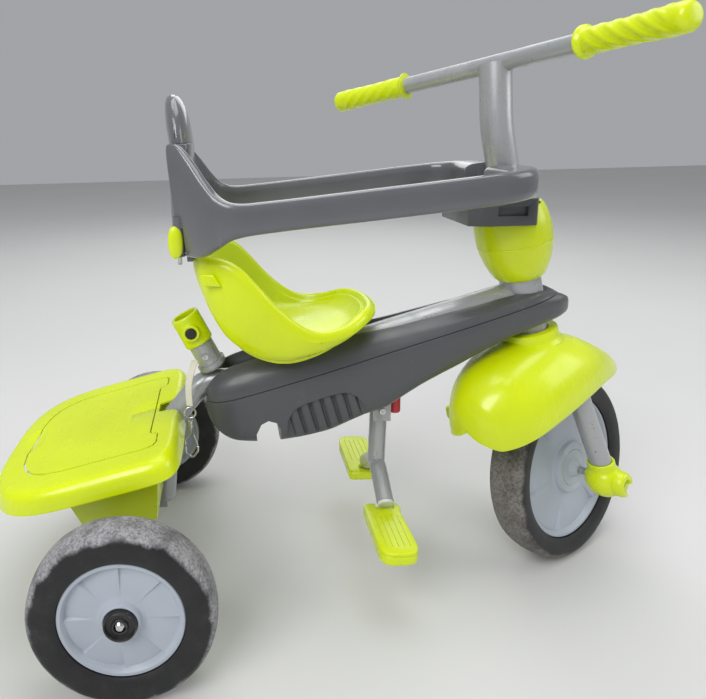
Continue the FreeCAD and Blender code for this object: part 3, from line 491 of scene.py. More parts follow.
def rubber(name, colour, centre, axle, tread_radius, dust_colour):
    """Black tyre foam, dark on its walls and rubbed grey with dust on its tread."""
    finish = Finish(name, roughness=0.7, ior=1.45)
    outwards = finish.node("ShaderNodeVectorMath", {"operation": "SUBTRACT"},
                           {0: finish.place(), 1: tuple(centre)}).outputs[0]
    across = finish.node("ShaderNodeVectorMath", {"operation": "CROSS_PRODUCT"},
                         {0: outwards, 1: tuple(axle)}).outputs[0]
    reach = Reading(finish.tree, finish.node("ShaderNodeVectorMath", {"operation": "LENGTH"},
                                             {0: across}).outputs["Value"])
    ragged = finish.noise(42.0, 5.0, roughness=0.6)
    fine = finish.noise(330.0, 4.0, roughness=0.7)
    edge = reach + (ragged - 0.5) * 0.014
    tread = finish.ranged(edge, tread_radius * 0.915, tread_radius * 0.965)
    film = finish.ranged(fine, 0.30, 0.62, 0.35, 1.0) * finish.ranged(ragged, 0.25, 0.6, 0.45, 0.95)
    wall = finish.ranged(fine, 0.60, 0.80) * 0.10 + finish.ranged(ragged, 0.5, 0.9) * 0.05
    dusty = tread * film + (1.0 - tread) * wall
    base = finish.blended(finish.ranged(ragged, 0.3, 0.7), shade(colour, 0.8), shade(colour, 1.25))
    finish.set("Base Color", finish.blended(dusty, base, dust_colour))
    finish.set("Roughness", finish.ranged(dusty, 0.0, 0.8, 0.52, 0.95))
    finish.bump(fine * 0.6 + finish.noise(1200.0, 2.0) * 0.4, 0.35, 0.0006)
    return finish.material


def polished(name, colour, roughness=0.22):
    """Plated steel wire and screws with fine tarnish."""
    finish = Finish(name, metallic=1.0, roughness=roughness)
    haze = finish.noise(160.0, 4.0)
    finish.set("Base Color", finish.blended(finish.ranged(haze, 0.45, 0.75), colour, shade(colour, 0.55)))
    finish.set("Roughness", finish.ranged(haze, 0.3, 0.8, roughness - 0.05, roughness + 0.2))
    finish.bump(haze, 0.08, 0.0002)
    return finish.material


def woven(name, colour):
    """Flat webbing with a fine cross weave and a little grime."""
    finish = Finish(name, roughness=0.85, sheen_weight=0.25)
    weft = finish.node("ShaderNodeTexWave", {"wave_type": "BANDS", "bands_direction": "Z"},
                       {"Vector": finish.place(), "Scale": 190.0, "Distortion": 0.6, "Detail": 1.0})
    warp = finish.node("ShaderNodeTexWave", {"wave_type": "BANDS", "bands_direction": "X"},
                       {"Vector": finish.place(), "Scale": 260.0, "Distortion": 0.4, "Detail": 1.0})
    thread = Reading(finish.tree, weft.outputs["Fac"]) * 0.6 + Reading(finish.tree, warp.outputs["Fac"]) * 0.4
    grime = finish.ranged(finish.noise(60.0, 4.0), 0.5, 0.8)
    base = finish.blended(thread, shade(colour, 0.78), shade(colour, 1.05))
    finish.set("Base Color", finish.blended(grime * 0.4, base, (0.30, 0.27, 0.20, 1.0)))
    finish.set("Roughness", 0.75 + thread * 0.2)
    finish.bump(thread, 0.5, 0.0004)
    return finish.material


def mix_finishes():
    """Make every material once, from the colours in the panel."""
    colours = bpy.context.scene.tricycle_colours
    lime, grey, cover, silver, rim_grey = (tuple(colour) + (1.0,) for colour in (
        colours.lime, colours.grey, colours.cover, colours.silver, colours.rim))
    black = (0.012, 0.012, 0.013, 1.0)
    dust = (0.36, 0.355, 0.37, 1.0)
    FINISHES.update({
        "lime": moulded("lime_plastic", lime, 0.30, 0.3, 0.02, (0.55, 0.58, 0.12, 1.0)),
        "grey": moulded("glossy_grey_plastic", grey, 0.17, 0.6, 0.10),
        "cover": moulded("cover_plastic", cover, 0.36, 0.15, 0.06),
        "silver": painted("silver_paint", silver),
        "worn_silver": painted("worn_silver_paint", silver, 0.35, 0.36, 0.03),
        "rim": moulded("rim_plastic", rim_grey, 0.42, 0.05, 0.25, (0.34, 0.33, 0.30, 1.0)),
        "rear_right_rubber": rubber("rear_right_tyre_foam", black, middle_of("rear_tyre_right"), (0, 1, 0),
                                    0.100, dust),
        "rear_left_rubber": rubber("rear_left_tyre_foam", black, middle_of("rear_tyre_left"), (0, 1, 0),
                                   0.100, dust),
        "front_rubber": rubber("front_tyre_foam", black, FRONT_HUB, WHEEL_SIDE, 0.1255,
                               (0.24, 0.225, 0.205, 1.0)),
        "steel": polished("bright_steel", (0.62, 0.62, 0.60, 1.0)),
        "black": moulded("black_plastic", (0.014, 0.014, 0.014, 1.0), 0.4, 0.1, 0.15),
        "white": moulded("white_plastic", (0.72, 0.73, 0.72, 1.0), 0.4, 0.1, 0.2),
        "red": moulded("red_plastic", (0.62, 0.015, 0.03, 1.0), 0.3, 0.3, 0.05),
        "webbing": woven("cream_webbing", (0.78, 0.74, 0.62, 1.0)),
    })


# ---- stage and strap ---------------------------------------------------------------------------------
def set_camera():
    """A camera low on the rider's right, behind the middle of the tricycle."""
    bpy.ops.object.camera_add(location=(-0.1355, -0.7523, 0.5892))
    camera = bpy.context.object
    camera.name = "camera"
    yaw, pitch, roll = -0.017, -0.193, -0.027
    forward = Vector((-math.sin(yaw) * math.cos(pitch), math.cos(yaw) * math.cos(pitch), math.sin(pitch)))
    level = forward.cross(Vector((0, 0, 1))).normalized()
    rise = level.cross(forward)
    right = level * math.cos(roll) + rise * math.sin(roll)
    up = rise * math.cos(roll) - level * math.sin(roll)
    camera.rotation_mode = "QUATERNION"
    camera.rotation_quaternion = Matrix((right, up, -forward)).transposed().to_quaternion()
    camera.data.lens = 30.965
    camera.data.sensor_width = 36.0
    camera.data.shift_x = 0.1677
    camera.data.shift_y = -0.141
    camera.data.clip_start = 0.01
    bpy.context.scene.camera = camera


def set_floor():
    """A plain pale floor that is part of the stage."""
    finish = Finish("pale_floor", roughness=0.8)
    cloud = finish.noise(1.5, 3.0)
    finish.set("Base Color", finish.blended(cloud, (0.60, 0.60, 0.59, 1.0), (0.66, 0.66, 0.65, 1.0)))
    cleared()
    bpy.ops.mesh.primitive_grid_add(x_subdivisions=8, y_subdivisions=8, size=14)
    floor = named("floor")
    floor.data.materials.append(finish.material)


def set_lights():
    """Large soft lamps from the front left, the right and above, and a pale sky."""
    lamps = (
        ("key_lamp", (-1.6, -2.2, 2.6), 1.9, 76.0),
        ("top_lamp", (0.3, 0.4, 3.2), 2.4, 50.0),
        ("side_lamp", (2.6, -0.6, 1.6), 1.6, 18.0),
        ("back_lamp", (0.4, 2.6, 1.8), 1.8, 13.0),
    )
    for name, place, size, power in lamps:
        cleared()
        bpy.ops.object.light_add(type="AREA", location=place)
        lamp = bpy.context.object
        lamp.name = name
        lamp.data.size = size
        lamp.data.energy = power
        lamp.rotation_mode = "QUATERNION"
        lamp.rotation_quaternion = (Vector((0, 0, 0.3)) - Vector(place)).to_track_quat("-Z", "Y")
    world = bpy.data.worlds.new("pale_sky")
    world.use_nodes = True
    world.node_tree.nodes["Background"].inputs["Color"].default_value = (0.86, 0.88, 0.92, 1.0)
    world.node_tree.nodes["Background"].inputs["Strength"].default_value = 0.42
    bpy.context.scene.world = world
    bpy.context.scene.view_settings.view_transform = "Standard"


STRAP_ROUTE = ((76, -24, 306), (72, -33, 297), (68, -38, 284), (67, -40, 269), (68, -41, 253))


def make_strap():
    """The flat webbing strap that hangs beside the handle socket and carries the wire hook."""
    line = bpy.data.curves.new("hanging_strap", "CURVE")
    line.dimensions = "3D"
    run = line.splines.new("NURBS")
    run.points.add(len(STRAP_ROUTE) - 1)
    for point, (x, y, z) in zip(run.points, STRAP_ROUTE):
        point.co = (AXLE_X + x * MM, y * MM, z * MM, 1.0)
        point.tilt = math.pi / 2
    run.order_u = 3
    run.use_endpoint_u = True
    run.resolution_u = 12
    line.extrude = 0.0038
    line.bevel_depth = 0.0007
    line.bevel_resolution = 2
    strap = bpy.data.objects.new("hanging_strap", line)
    bpy.context.scene.collection.objects.link(strap)
    line.materials.append(FINISHES["webbing"])
    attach(strap, "frame")
    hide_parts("strap")


# ---- wheels ------------------------------------------------------------------------------------------
def tyre_outline(radius, half, seat):
    """A solid tyre's section: bulged walls, a rounded shoulder and a crowned tread with three grooves."""
    crown = 60.0
    edge = 0.72 * half
    shoulder = radius - (crown - math.sqrt(crown ** 2 - edge ** 2))
    wall = [(seat, 0.80), (seat + 2.5, 0.885), (seat + 6, 0.94), ((shoulder - 9 + seat) / 2, 0.975)]
    side = [(r, share * half) for r, share in wall]
    side += [(shoulder - 9, half), (shoulder - 6, half - 0.5), (shoulder - 3.4, half - 1.9),
             (shoulder - 1.2, half - 4.0), (shoulder, edge)]
    tread = []
    for share in (0.62, 0.50, 0.36, 0.2):
        along = share * half
        tread.append((radius - (crown - math.sqrt(crown ** 2 - along ** 2)), along))
    near = side + tread
    return near + [(radius, 0)] + [(r, -a) for r, a in reversed(near)]


def make_tyre(name, radius, width, seat, place):
    """One tyre, turned about its axle."""
    return turned(name, tyre_outline(radius, width / 2, seat), 128, place)


def rim_outline(radius, half, hub, hub_half, pocket, depth):
    """A rim's section: a bored hub with a pocket for its cap, a shallow disc and a rolled lip."""
    near = [
        (5.1, hub_half - depth), (pocket, hub_half - depth), (pocket, hub_half - 0.6),
        (pocket + 0.6, hub_half), (hub - 1.2, hub_half), (hub, hub_half - 0.8), (hub + 1.6, half - 2.4),
        (hub + 4, half - 3.8), (hub + 7, half - 4.2),
    ]
    steps = 7
    for step in range(1, steps + 1):
        near.append((hub + 7 + (radius - 8.4 - hub - 7) * step / steps, half - 4.2))
    near += [(radius - 7.4, half - 4.0), (radius - 5.6, half - 0.8), (radius - 4.6, half),
             (radius - 1.6, half), (radius - 0.6, half - 0.9), (radius - 0.3, half - 2.5)]
    return near + [(r, -a) for r, a in reversed(near)]


def make_rim(name, radius, half, hub, hub_half, pocket, depth, sectors, place):
    """One rim whose disc steps down sector by sector, like shallow blades."""
    rim = turned(name, rim_outline(radius, half, hub, hub_half, pocket, depth), 192)
    inner, outer = hub + 3.0, radius - 8.0
    for vertex in rim.data.vertices:
        reach = math.hypot(vertex.co.x, vertex.co.y) / MM
        if inner < reach < outer + 0.2 and abs(vertex.co.z) > (half - 6) * MM:
            turn = (math.atan2(vertex.co.y, vertex.co.x) + 0.011) * sectors / (2 * math.pi)
            ramp = turn - math.floor(turn)
            if vertex.co.z < 0:
                ramp = 1 - ramp
            drop = 3.6 * ramp * ramp_up(inner, outer + 6, reach)
            vertex.co.z -= math.copysign(drop * MM, vertex.co.z)
    return carried(rim, place)


def make_rear_wheels():
    """Both rear wheels: tyre, rim with eight blades and a black dished cap."""
    sizes = bpy.context.scene.tricycle_sizes
    radius, width = sizes.rear_wheel / MM, sizes.rear_tyre / MM
    cap = [(6.2, 15.3), (9, 15.3), (9, 11.4), (17.3, 11.4), (17.3, 23.6), (16.9, 25.0), (16.2, 25.8),
           (15.4, 25.8), (14.9, 25.2), (14.6, 23.4), (14.2, 22.6), (9.6, 22.2), (9.0, 22.6), (8.6, 24.2),
           (8.0, 24.8), (6.2, 24.8)]
    for side, name in ((-1, "right"), (1, "left")):
        centre = middle_of("rear_tyre_" + name)
        place = Matrix.Translation(centre) @ standing((0, 0, 0), (0, side, 0), (0, 0, 1))
        body = "rear_wheel_" + name
        tyre = make_tyre(name + "_rear_tyre", radius, width, 67.0, place)
        fitted(tyre, 50, body, "rear_" + name + "_rubber", "rear_tyre_" + name)
        rim = make_rim(name + "_rear_rim", 67.0, 17.0, 20.5, 20.0, 17.7, 9.0, sizes.rear_blades, place)
        fitted(rim, 24, body, "rim", "rear_rim_" + name)
        fitted(turned(name + "_rear_cap", cap, 96, place), 40, body, "black", "hub_cap_" + name)


def make_front_wheel():
    """The front wheel: a wider tyre and a rim with six blades round a raised ring."""
    sizes = bpy.context.scene.tricycle_sizes
    place = standing(FRONT_HUB, WHEEL_SIDE, STEER_UP)
    tyre = make_tyre("front_wheel_tyre", sizes.front_wheel / MM, sizes.front_tyre / MM, 96.5, place)
    fitted(tyre, 50, "front_wheel", "front_rubber", "front_tyre")
    rim = make_rim("front_wheel_rim", 96.5, 17.5, 34.0, 21.0, 24.2, 3.0, sizes.front_blades, place)
    fitted(rim, 24, "front_wheel", "rim", "front_rim")


# ---- steering ----------------------------------------------------------------------------------------
FENDER = (
    (-146.0, 1.0, 252.0, 256.0), (-145.0, 11.0, 245.0, 264.0), (-141.0, 25.0, 238.5, 278.0),
    (-132.0, 38.0, 234.0, 293.0), (-100.0, 56.0, 238.0, 313.0), (-50.0, 66.0, 246.0, 325.0),
    (0.0, 68.0, 250.0, 326.0), (50.0, 63.0, 248.0, 310.0), (100.0, 49.0, 235.0, 277.0),
    (140.0, 31.0, 221.0, 246.0), (154.0, 20.0, 214.5, 232.0), (160.0, 11.0, 212.0, 224.0),
    (162.0, 1.0, 215.0, 217.0),
)


def make_fender():
    """The domed mudguard over the front wheel with the collar that hugs the fork crown."""
    def rule(u, v):
        bow = math.sin((u - 0.5) * math.pi)
        x = 8.0 + 154.0 * bow
        half, low, top = row_at(FENDER, x)
        across, up = squared(math.pi * v, 2.5)
        return (x, half * across, low + (top - low) * up)

    dome = walled(skin("mudguard", 88, 44, rule, Matrix()), 2.4)
    ring = [(24.4, 300), (24.4, 334.6), (25.4, 336), (33.6, 336), (35.4, 334.8), (36, 332.6), (36, 326),
            (37.4, 322), (40, 319), (40, 300)]
    collar = turned("mudguard_collar", ring, 72)
    mudguard = joined(eased(dome, 0.7, 2, 60), collar)
    mudguard.data.transform(PARKED)
    fitted(mudguard, 40, "steering", "lime", "fender")


def make_fork_ends():
    """The lime housings at the fork's feet, each with a hooked lip towards the pedal."""
    feet = from_node("fork_ends", "fork_feet")
    modified(feet, "REMESH", mode="VOXEL", voxel_size=0.0013)
    modified(feet, "SMOOTH", factor=0.6, iterations=6)
    lips = []
    hub = PARKED.inverted() @ FRONT_HUB / MM
    for side in (-1, 1):
        outline = [(7.7, 17.0), (7.7, 27.0), (8.6, 28.2), (12.5, 28.2), (14.6, 27.0), (15.8, 24.0),
                   (16.4, 17.0)]
        lip = turned("fork_lip", outline, 56)
        lip.data.transform(Matrix.Translation((hub.x * MM, side * 62.0 * MM, hub.z * MM))
                           @ standing((0, 0, 0), (0, side, 0), (0, 0, 1)))
        cutter = block("lip_gap", (hub.x - 2, min(side * 84, side * 96), hub.z - 30),
                       (hub.x + 26, max(side * 84, side * 96), hub.z - 2), Matrix())
        worked(lip, cutter)
        lip.data.transform(PARKED)
        lips.append(lip)
    joined(feet, *lips)
    fitted(feet, 50, "steering", "lime", "fork_ends")


def make_grips():
    """The two handlebar grips with their flanges and slanting ribs."""
    root, end = Vector((16.5, 28.0, 673.0)), Vector((-34.5, 222.0, 673.0))
    reach = (end - root).length
    start = 94.0
    profile = (
        (start, 11.2), (start + 0.2, 16.4), (start + 1.0, 17.5), (start + 3.4, 17.5), (start + 4.4, 16.6),
        (start + 6.0, 14.2), (start + 14, 13.8), ((start + reach) / 2, 13.2), (reach - 18, 14.0),
        (reach - 2, 14.3), (reach + 3, 13.4), (reach + 6.5, 10.0), (reach + 7.8, 5.0), (reach + 8.0, 0.01),
    )
    high = profile[-1][0]

    def rule(u, v):
        along = start + (high - start) * (1 - (1 - v) ** 1.25)
        radius = row_at(profile, along)[0]
        body = ramp_up(start + 9, start + 14, along) * (1 - ramp_up(reach - 12, reach - 6, along))
        wave = math.sin(6 * (2 * math.pi * u) + along * 0.36)
        radius += body * (0.75 * ramp_up(-0.2, 0.75, wave) - 0.1)
        return (radius * math.cos(2 * math.pi * u), radius * math.sin(2 * math.pi * u), along)

    grip = skin("left_grip", 72, 96, rule, Matrix())
    along = (end - root).normalized()
    grip.data.transform(PARKED @ Matrix.Translation(root * MM) @ standing((0, 0, 0), along, (0, 0, 1)))
    twin = copied(grip, "right_grip", PARKED @ OTHER_SIDE @ PARKED.inverted())
    fitted(grip, 50, "steering", "lime", "grip_left")
    fitted(twin, 50, "steering", "lime", "grip_right")


def make_head_cover():
    """The lime bell round the head tube, with a fine double line near its foot."""
    outer = [(27.2, 406), (28.6, 407), (31, 409.6), (35.4, 418), (39.8, 429), (43.0, 441), (44.6, 450),
             (45.0, 452), (44.5, 452.7), (44.5, 453.6), (45.2, 454.3), (45.5, 462), (45.4, 474), (44.4, 482),
             (42.4, 491), (40.0, 498), (38.6, 500)]
    inner = [(36.6, 498), (40, 488), (42, 472), (41.6, 456), (37.4, 436), (30.4, 419), (25.6, 410),
             (25.3, 406)]
    bell = turned("head_bell", outer + inner, 96, HEAD)
    fitted(bell, 35, "frame", "lime", "head_cover")


def make_clasp():
    """The dark clasp on the head cover that holds the front of the safety bar."""
    clasp = from_node("bar_clasp", "bar_catch")
    eased(clasp, 2.6, 3, 25)
    base = bar_top(405) - 34.5
    slot = block("catch_slot", (440, -60, base - 20), (476, -47, base - 9))
    worked(clasp, slot)
    fitted(clasp, 35, "frame", "cover", "bar_clasp")


# ---- body --------------------------------------------------------------------------------------------
COVER = (
    (84.5, 1.0, 250.0, 252.0), (86.0, 12.0, 242.0, 261.0), (90.0, 25.0, 229.0, 271.0),
    (98.0, 37.0, 216.0, 282.0), (112.0, 44.5, 203.5, 291.5), (130.0, 48.5, 197.5, 299.0),
    (180.0, 51.0, 197.0, 314.0), (240.0, 52.0, 208.0, 327.0), (270.0, 51.6, 220.5, 332.5),
    (290.0, 51.0, 229.0, 336.0), (315.0, 50.5, 237.0, 340.0), (340.0, 50.0, 253.5, 345.0),
    (357.0, 49.4, 264.5, 349.0), (381.0, 48.5, 278.0, 354.5), (406.0, 47.4, 291.0, 360.5),
    (430.0, 46.0, 304.0, 366.0), (470.0, 42.5, 323.0, 376.5), (505.0, 38.0, 336.0, 383.5),
    (535.0, 29.0, 345.0, 382.0), (549.0, 20.0, 350.0, 377.0), (556.0, 11.0, 354.0, 370.0),
    (558.0, 1.0, 359.0, 361.0),
)


def cover_body(name):
    """The whole outer form of the cover, closed."""
    def rule(u, v):
        bow = 0.5 - 0.5 * math.cos(math.pi * v)
        x = 84.5 + (558.0 - 84.5) * (0.35 * bow + 0.65 * v)
        half, low, high = row_at(COVER, x)
        angle = 2 * math.pi * u
        across, up = squared(angle, 3.0 if math.sin(angle) > 0 else 4.6)
        return (x, half * across, (low + high) / 2 + (high - low) / 2 * up)

    return capped(skin(name, 84, 110, rule))


def parted(piece, height, keep_above):
    """Keep one side of the sloping seam, closed with a flat face."""
    normal = Vector((-math.sin(TUBE_SLOPE), 0, math.cos(TUBE_SLOPE)))
    point = Vector((AXLE_X, 0, (tube_height(0) + height) * MM))
    with all_faces_picked(piece):
        bpy.ops.mesh.bisect(plane_co=point, plane_no=normal, use_fill=True, clear_inner=keep_above,
                            clear_outer=not keep_above)
    return piece


def make_cover():
    """The two halves of the body cover, with the tube's trough, the notch and the ribbed grips."""
    rise = Vector((-math.sin(TUBE_SLOPE), 0, math.cos(TUBE_SLOPE)))
    whole = cover_body("cover_form")
    head_room = round_bar("head_room", (0, 0, 200), (0, 0, 600), 26.0, HEAD)
    worked(whole, head_room)
    upper = parted(copied(whole, "upper_cover"), -3.5, True)
    lower = parted(whole, -4.6, False)
    lower.name = "lower_cover"
    lower.data.name = "lower_cover"
    for half in (upper, lower):
        worked(half, round_bar("tube_trough", (40, 0, tube_height(40)), (600, 0, tube_height(600)), 21.0))
    trench = block("tube_trench", (-30, -21, 0), (640, 21, 80), Matrix())
    trench.data.transform(TRIKE @ Matrix.Translation((0, 0, tube_height(0) * MM))
                          @ Matrix.Rotation(-TUBE_SLOPE, 4, "Y"))
    worked(upper, trench)
    notch_plan = [(153, -190), (181, -190), (183, -206), (181, -222), (176, -230), (166, -233), (157, -228),
                  (151, -214)]
    worked(lower, plan_block("cover_notch", notch_plan, -60, 60, TRIKE @ UPRIGHT_PLAN))
    pocket_plan = [(189, -180), (190, -232), (197, -246), (210, -254), (239, -264), (256, -268), (268, -267),
                   (278, -261), (286, -251), (293, -237), (298, -180)]
    for side in (-1, 1):
        low, high = (44.5, 60) if side > 0 else (-60, -44.5)
        worked(lower, plan_block("rib_pocket", pocket_plan, low, high, TRIKE @ UPRIGHT_PLAN))
    ribs = []
    for side in (-1, 1):
        for step in range(6):
            x = 199.5 + 15.6 * step
            low = row_at(COVER, x + 7)[1] + 1.5
            foot = Vector((x, side * 42.0, 236.0)) - rise * ((236.0 - low) / rise.z)
            ribs.append(round_bar("rib", foot, foot + rise * (292.0 - low), 7.4, TRIKE, 24))
    eased(lower, 0.8, 2, 40)
    eased(upper, 0.8, 2, 40)
    bars = joined(*ribs)
    inside = cover_body("rib_bound")
    parted(inside, -6.0, False)
    eased(bars, 1.2, 2, 60)
    worked(bars, inside, "INTERSECT")
    joined(lower, bars)
    fitted(upper, 35, "frame", "cover", "cover_upper")
    fitted(lower, 35, "frame", "cover", "cover_lower")


# ---- seat --------------------------------------------------------------------------------------------
SEAT_RIM = ((78, 447), (110, 446), (130, 437), (150, 418), (184, 383), (220, 361), (258, 362), (288, 373),
            (306, 376))
SEAT_EDGE = ((78, 404), (95, 368), (108, 352), (130, 338), (160, 328), (190, 325), (232, 333), (271, 347),
             (306, 365))
SEAT_FLOOR = ((96, 396), (116, 366), (150, 350), (190, 343), (230, 344), (264, 352), (290, 364))
SEAT_SECTION = (
    # share of the way, reach, part edge, part rim, part floor, lift
    (0.00, 0.00, 0.0, 0.0, 1.0, -8.0), (0.07, 0.40, 0.0, 0.0, 1.0, -8.0),
    (0.13, 0.62, 0.3, 0.0, 0.7, -8.0), (0.17, 0.74, 0.9, 0.0, 0.1, -7.5),
    (0.20, 0.80, 1.0, 0.0, 0.0, -7.0), (0.22, 0.825, 1.0, 0.0, 0.0, -5.5),
    (0.25, 0.835, 1.0, 0.0, 0.0, 0.0), (0.27, 0.85, 1.0, 0.0, 0.0, 0.6),
    (0.29, 0.875, 1.0, 0.0, 0.0, -0.4), (0.31, 0.895, 1.0, 0.0, 0.0, 1.0),
    (0.36, 0.945, 0.86, 0.14, 0.0, 0.0), (0.42, 0.98, 0.65, 0.35, 0.0, 0.0),
    (0.48, 1.00, 0.40, 0.60, 0.0, 0.0), (0.54, 0.995, 0.0, 1.0, 0.0, -11.0),
    (0.57, 0.98, 0.0, 1.0, 0.0, -4.5), (0.60, 0.955, 0.0, 1.0, 0.0, -1.0),
    (0.63, 0.925, 0.0, 1.0, 0.0, 0.0), (0.66, 0.895, 0.0, 1.0, 0.0, -2.0),
    (0.69, 0.870, 0.0, 1.0, 0.0, -7.5), (0.74, 0.845, 0.0, 0.60, 0.40, 0.0),
    (0.80, 0.80, 0.0, 0.25, 0.75, 0.0), (0.85, 0.72, 0.0, 0.07, 0.93, 0.0),
    (0.90, 0.58, 0.0, 0.0, 1.0, 0.0), (0.95, 0.30, 0.0, 0.0, 1.0, 0.0), (1.00, 0.00, 0.0, 0.0, 1.0, 0.0),
)


def seat_point(u, v):
    """A point on the seat: u goes round it, v from the middle of its underside over the rim to its floor."""
    centre_x = 190.0
    angle = 2 * math.pi * u
    front = math.cos(angle) > 0
    across, along = squared(angle, 2.5 if front else 3.0)
    reach, edge_part, rim_part, floor_part, lift = row_at(SEAT_SECTION, v)
    out_x = centre_x + across * (115.5 if front else 112.0)
    x = centre_x + (out_x - centre_x) * reach
    height = (edge_part * row_at(SEAT_EDGE, out_x)[0] + rim_part * row_at(SEAT_RIM, out_x)[0]
              + floor_part * row_at(SEAT_FLOOR, x)[0] + lift)
    if v < 0.25:
        height = min(height, row_at(SEAT_FLOOR, x)[0] - 7.5)
    return (x, 94.0 * along * reach, height)


def make_seat():
    """The bucket seat with its rolled rim, the strap slot in its floor and a buckle pocket on each side."""
    seat = skin("bucket_seat", 132, 104, seat_point)
    with all_faces_picked(seat):
        bpy.ops.mesh.flip_normals()
    cleared()
    bpy.ops.mesh.primitive_uv_sphere_add(segments=40, ring_count=20, radius=1, location=(0, 0, 0))
    boss = named("slot_boss")
    boss.scale = (0.015, 0.024, 0.0055)
    settled(boss, Matrix.Translation((AXLE_X + 0.173, 0, 0.3445)))
    worked(seat, boss, "UNION", "FAST")
    worked(seat, eased(block("slot", (169.5, -13, 300), (176.5, 13, 380)), 3.0, 3), "DIFFERENCE", "FAST")
    worked(seat, block("tongue_room", (71.8, -40.2, 435.8), (80.2, 40.2, 470)), "DIFFERENCE", "FAST")
    plan = [(84, -451), (100, -451), (117, -416), (92, -416), (83, -432)]
    for side in (-1, 1):
        lean = Matrix.Rotation(side * math.radians(17), 4, "Z")
        low, high = (81.5, 120) if side > 0 else (-120, -81.5)
        middle = Matrix.Translation((0.1, side * 0.0815, 0))
        pocket = plan_block("buckle_pocket", plan, low, high, UPRIGHT_PLAN)
        eased(pocket, 1.5, 2)
        pocket.data.transform(TRIKE @ middle @ lean @ middle.inverted())
        worked(seat, pocket, "DIFFERENCE", "FAST")
        tab_plan = [(88, -430), (104, -430), (113, -417), (93, -417)]
        low, high = (78, 84.0) if side > 0 else (-84.0, -78)
        tab = plan_block("buckle_tab", tab_plan, low, high, UPRIGHT_PLAN)
        eased(tab, 1.2, 2)
        tab.data.transform(TRIKE @ middle @ lean @ middle.inverted())
        joined(seat, tab)
    fitted(seat, 38, "frame", "lime", "seat_shell")


# ---- backrest and safety bar -------------------------------------------------------------------------
def make_backrest():
    """The grey band behind the seat and the pointed top above it."""
    top = stacked("backrest_fin", (
        (577.5, 69.0, 14.5, 56.0), (584, 68.2, 14.6, 54.8), (592, 67.2, 14.6, 52.6), (600, 66.2, 14.4, 49.0),
        (610, 64.9, 13.6, 43.0), (619, 63.4, 12.2, 35.0), (627, 61.9, 9.6, 25.0), (632, 60.8, 6.2, 14.0),
        (634, 60.2, 2.0, 5.0)), 2.2, 96, 60)
    seam = plan_block("fin_seam", [(64.6, -62), (65.5, -62), (65.5, 62), (64.6, 62)], 583, 640)
    core = stacked("fin_core", (
        (570, 69.0, 13.9, 55.4), (592, 67.2, 14.0, 52.0), (600, 66.2, 13.8, 48.4), (610, 64.9, 13.0, 42.4),
        (619, 63.4, 11.6, 34.4), (627, 61.9, 9.0, 24.4), (631.4, 60.8, 5.6, 13.4), (633.3, 60.2, 1.4, 4.4)),
        2.2, 64, 40)
    worked(seam, core)
    worked(top, seam)
    eased(top, 0.5, 2, 55)
    fitted(top, 40, "frame", "grey", "backrest_top")
    band = stacked("backrest_shell", (
        (450.5, 69.5, 11.6, 54.0), (452, 69.5, 12.8, 57.0), (456, 69.5, 13.6, 58.4), (500, 69.2, 13.8, 58.4),
        (540, 69.2, 13.8, 58.0), (562, 69.2, 14.0, 57.6), (572, 69.2, 14.3, 57.0), (576.8, 69.0, 14.4, 56.2)),
        4.0, 88, 48)
    parts = [band, block("seat_tongue", (72.4, -39.6, 437), (79.6, 39.6, 458))]
    for side in (-1, 1):
        knuckle = round_bar("knuckle", (66, side * 66, 452), (66, side * 66, 482), 6.5, TRIKE, 32)
        bridge = block("bridge", (60, min(side * 50, side * 66), 452), (72, max(side * 50, side * 66), 482))
        parts += [knuckle, bridge]
    shell = eased(joined(*parts), 0.8, 2, 60)
    fitted(shell, 40, "frame", "grey", "backrest_band")


SAFETY_ARM = (
    # share of the way, x, y, width, low, high; the heights from station 8 on come from the bar's slope
    (0.00, 61.0, -60.5, 7.0, 456.0, 573.0), (0.03, 63.5, -62.0, 11.0, 451.0, 576.6),
    (0.08, 72.0, -67.5, 13.5, 449.5, 576.8), (0.12, 78.0, -73.5, 14.5, 449.5, 571.0),
    (0.17, 87.0, -83.0, 15.0, 450.0, 557.0), (0.24, 99.0, -96.0, 15.5, 455.0, 536.5),
    (0.30, 112.0, -106.5, 17.0, 464.0, 521.5),
    (0.36, 130.0, -111.6, 18.0, 475.5, 514.0), (0.44, 165.0, -112.0, 18.0, 481.2, 515.2),
    (0.62, 290.0, -112.0, 18.0, 492.6, 526.6), (0.76, 395.0, -112.0, 18.0, 502.3, 536.3),
    (0.82, 424.0, -107.0, 22.0, 505.0, 539.0), (0.87, 444.0, -93.0, 30.0, 506.6, 540.6),
    (0.92, 452.0, -72.0, 38.0, 507.4, 541.4), (1.00, 451.0, -27.0, 42.0, 507.4, 541.4),
)


def arm_path(v):
    """Middle, direction, width and heights of the safety bar at a share of its way."""
    x, y, width, low, high = row_at(SAFETY_ARM, v)
    before = row_at(SAFETY_ARM, max(v - 0.012, 0.0))
    after = row_at(SAFETY_ARM, min(v + 0.012, 1.0))
    along = Vector((after[0] - before[0], after[1] - before[1], 0)).normalized()
    return x, y, width, low, high, Vector((along.y, -along.x, 0))


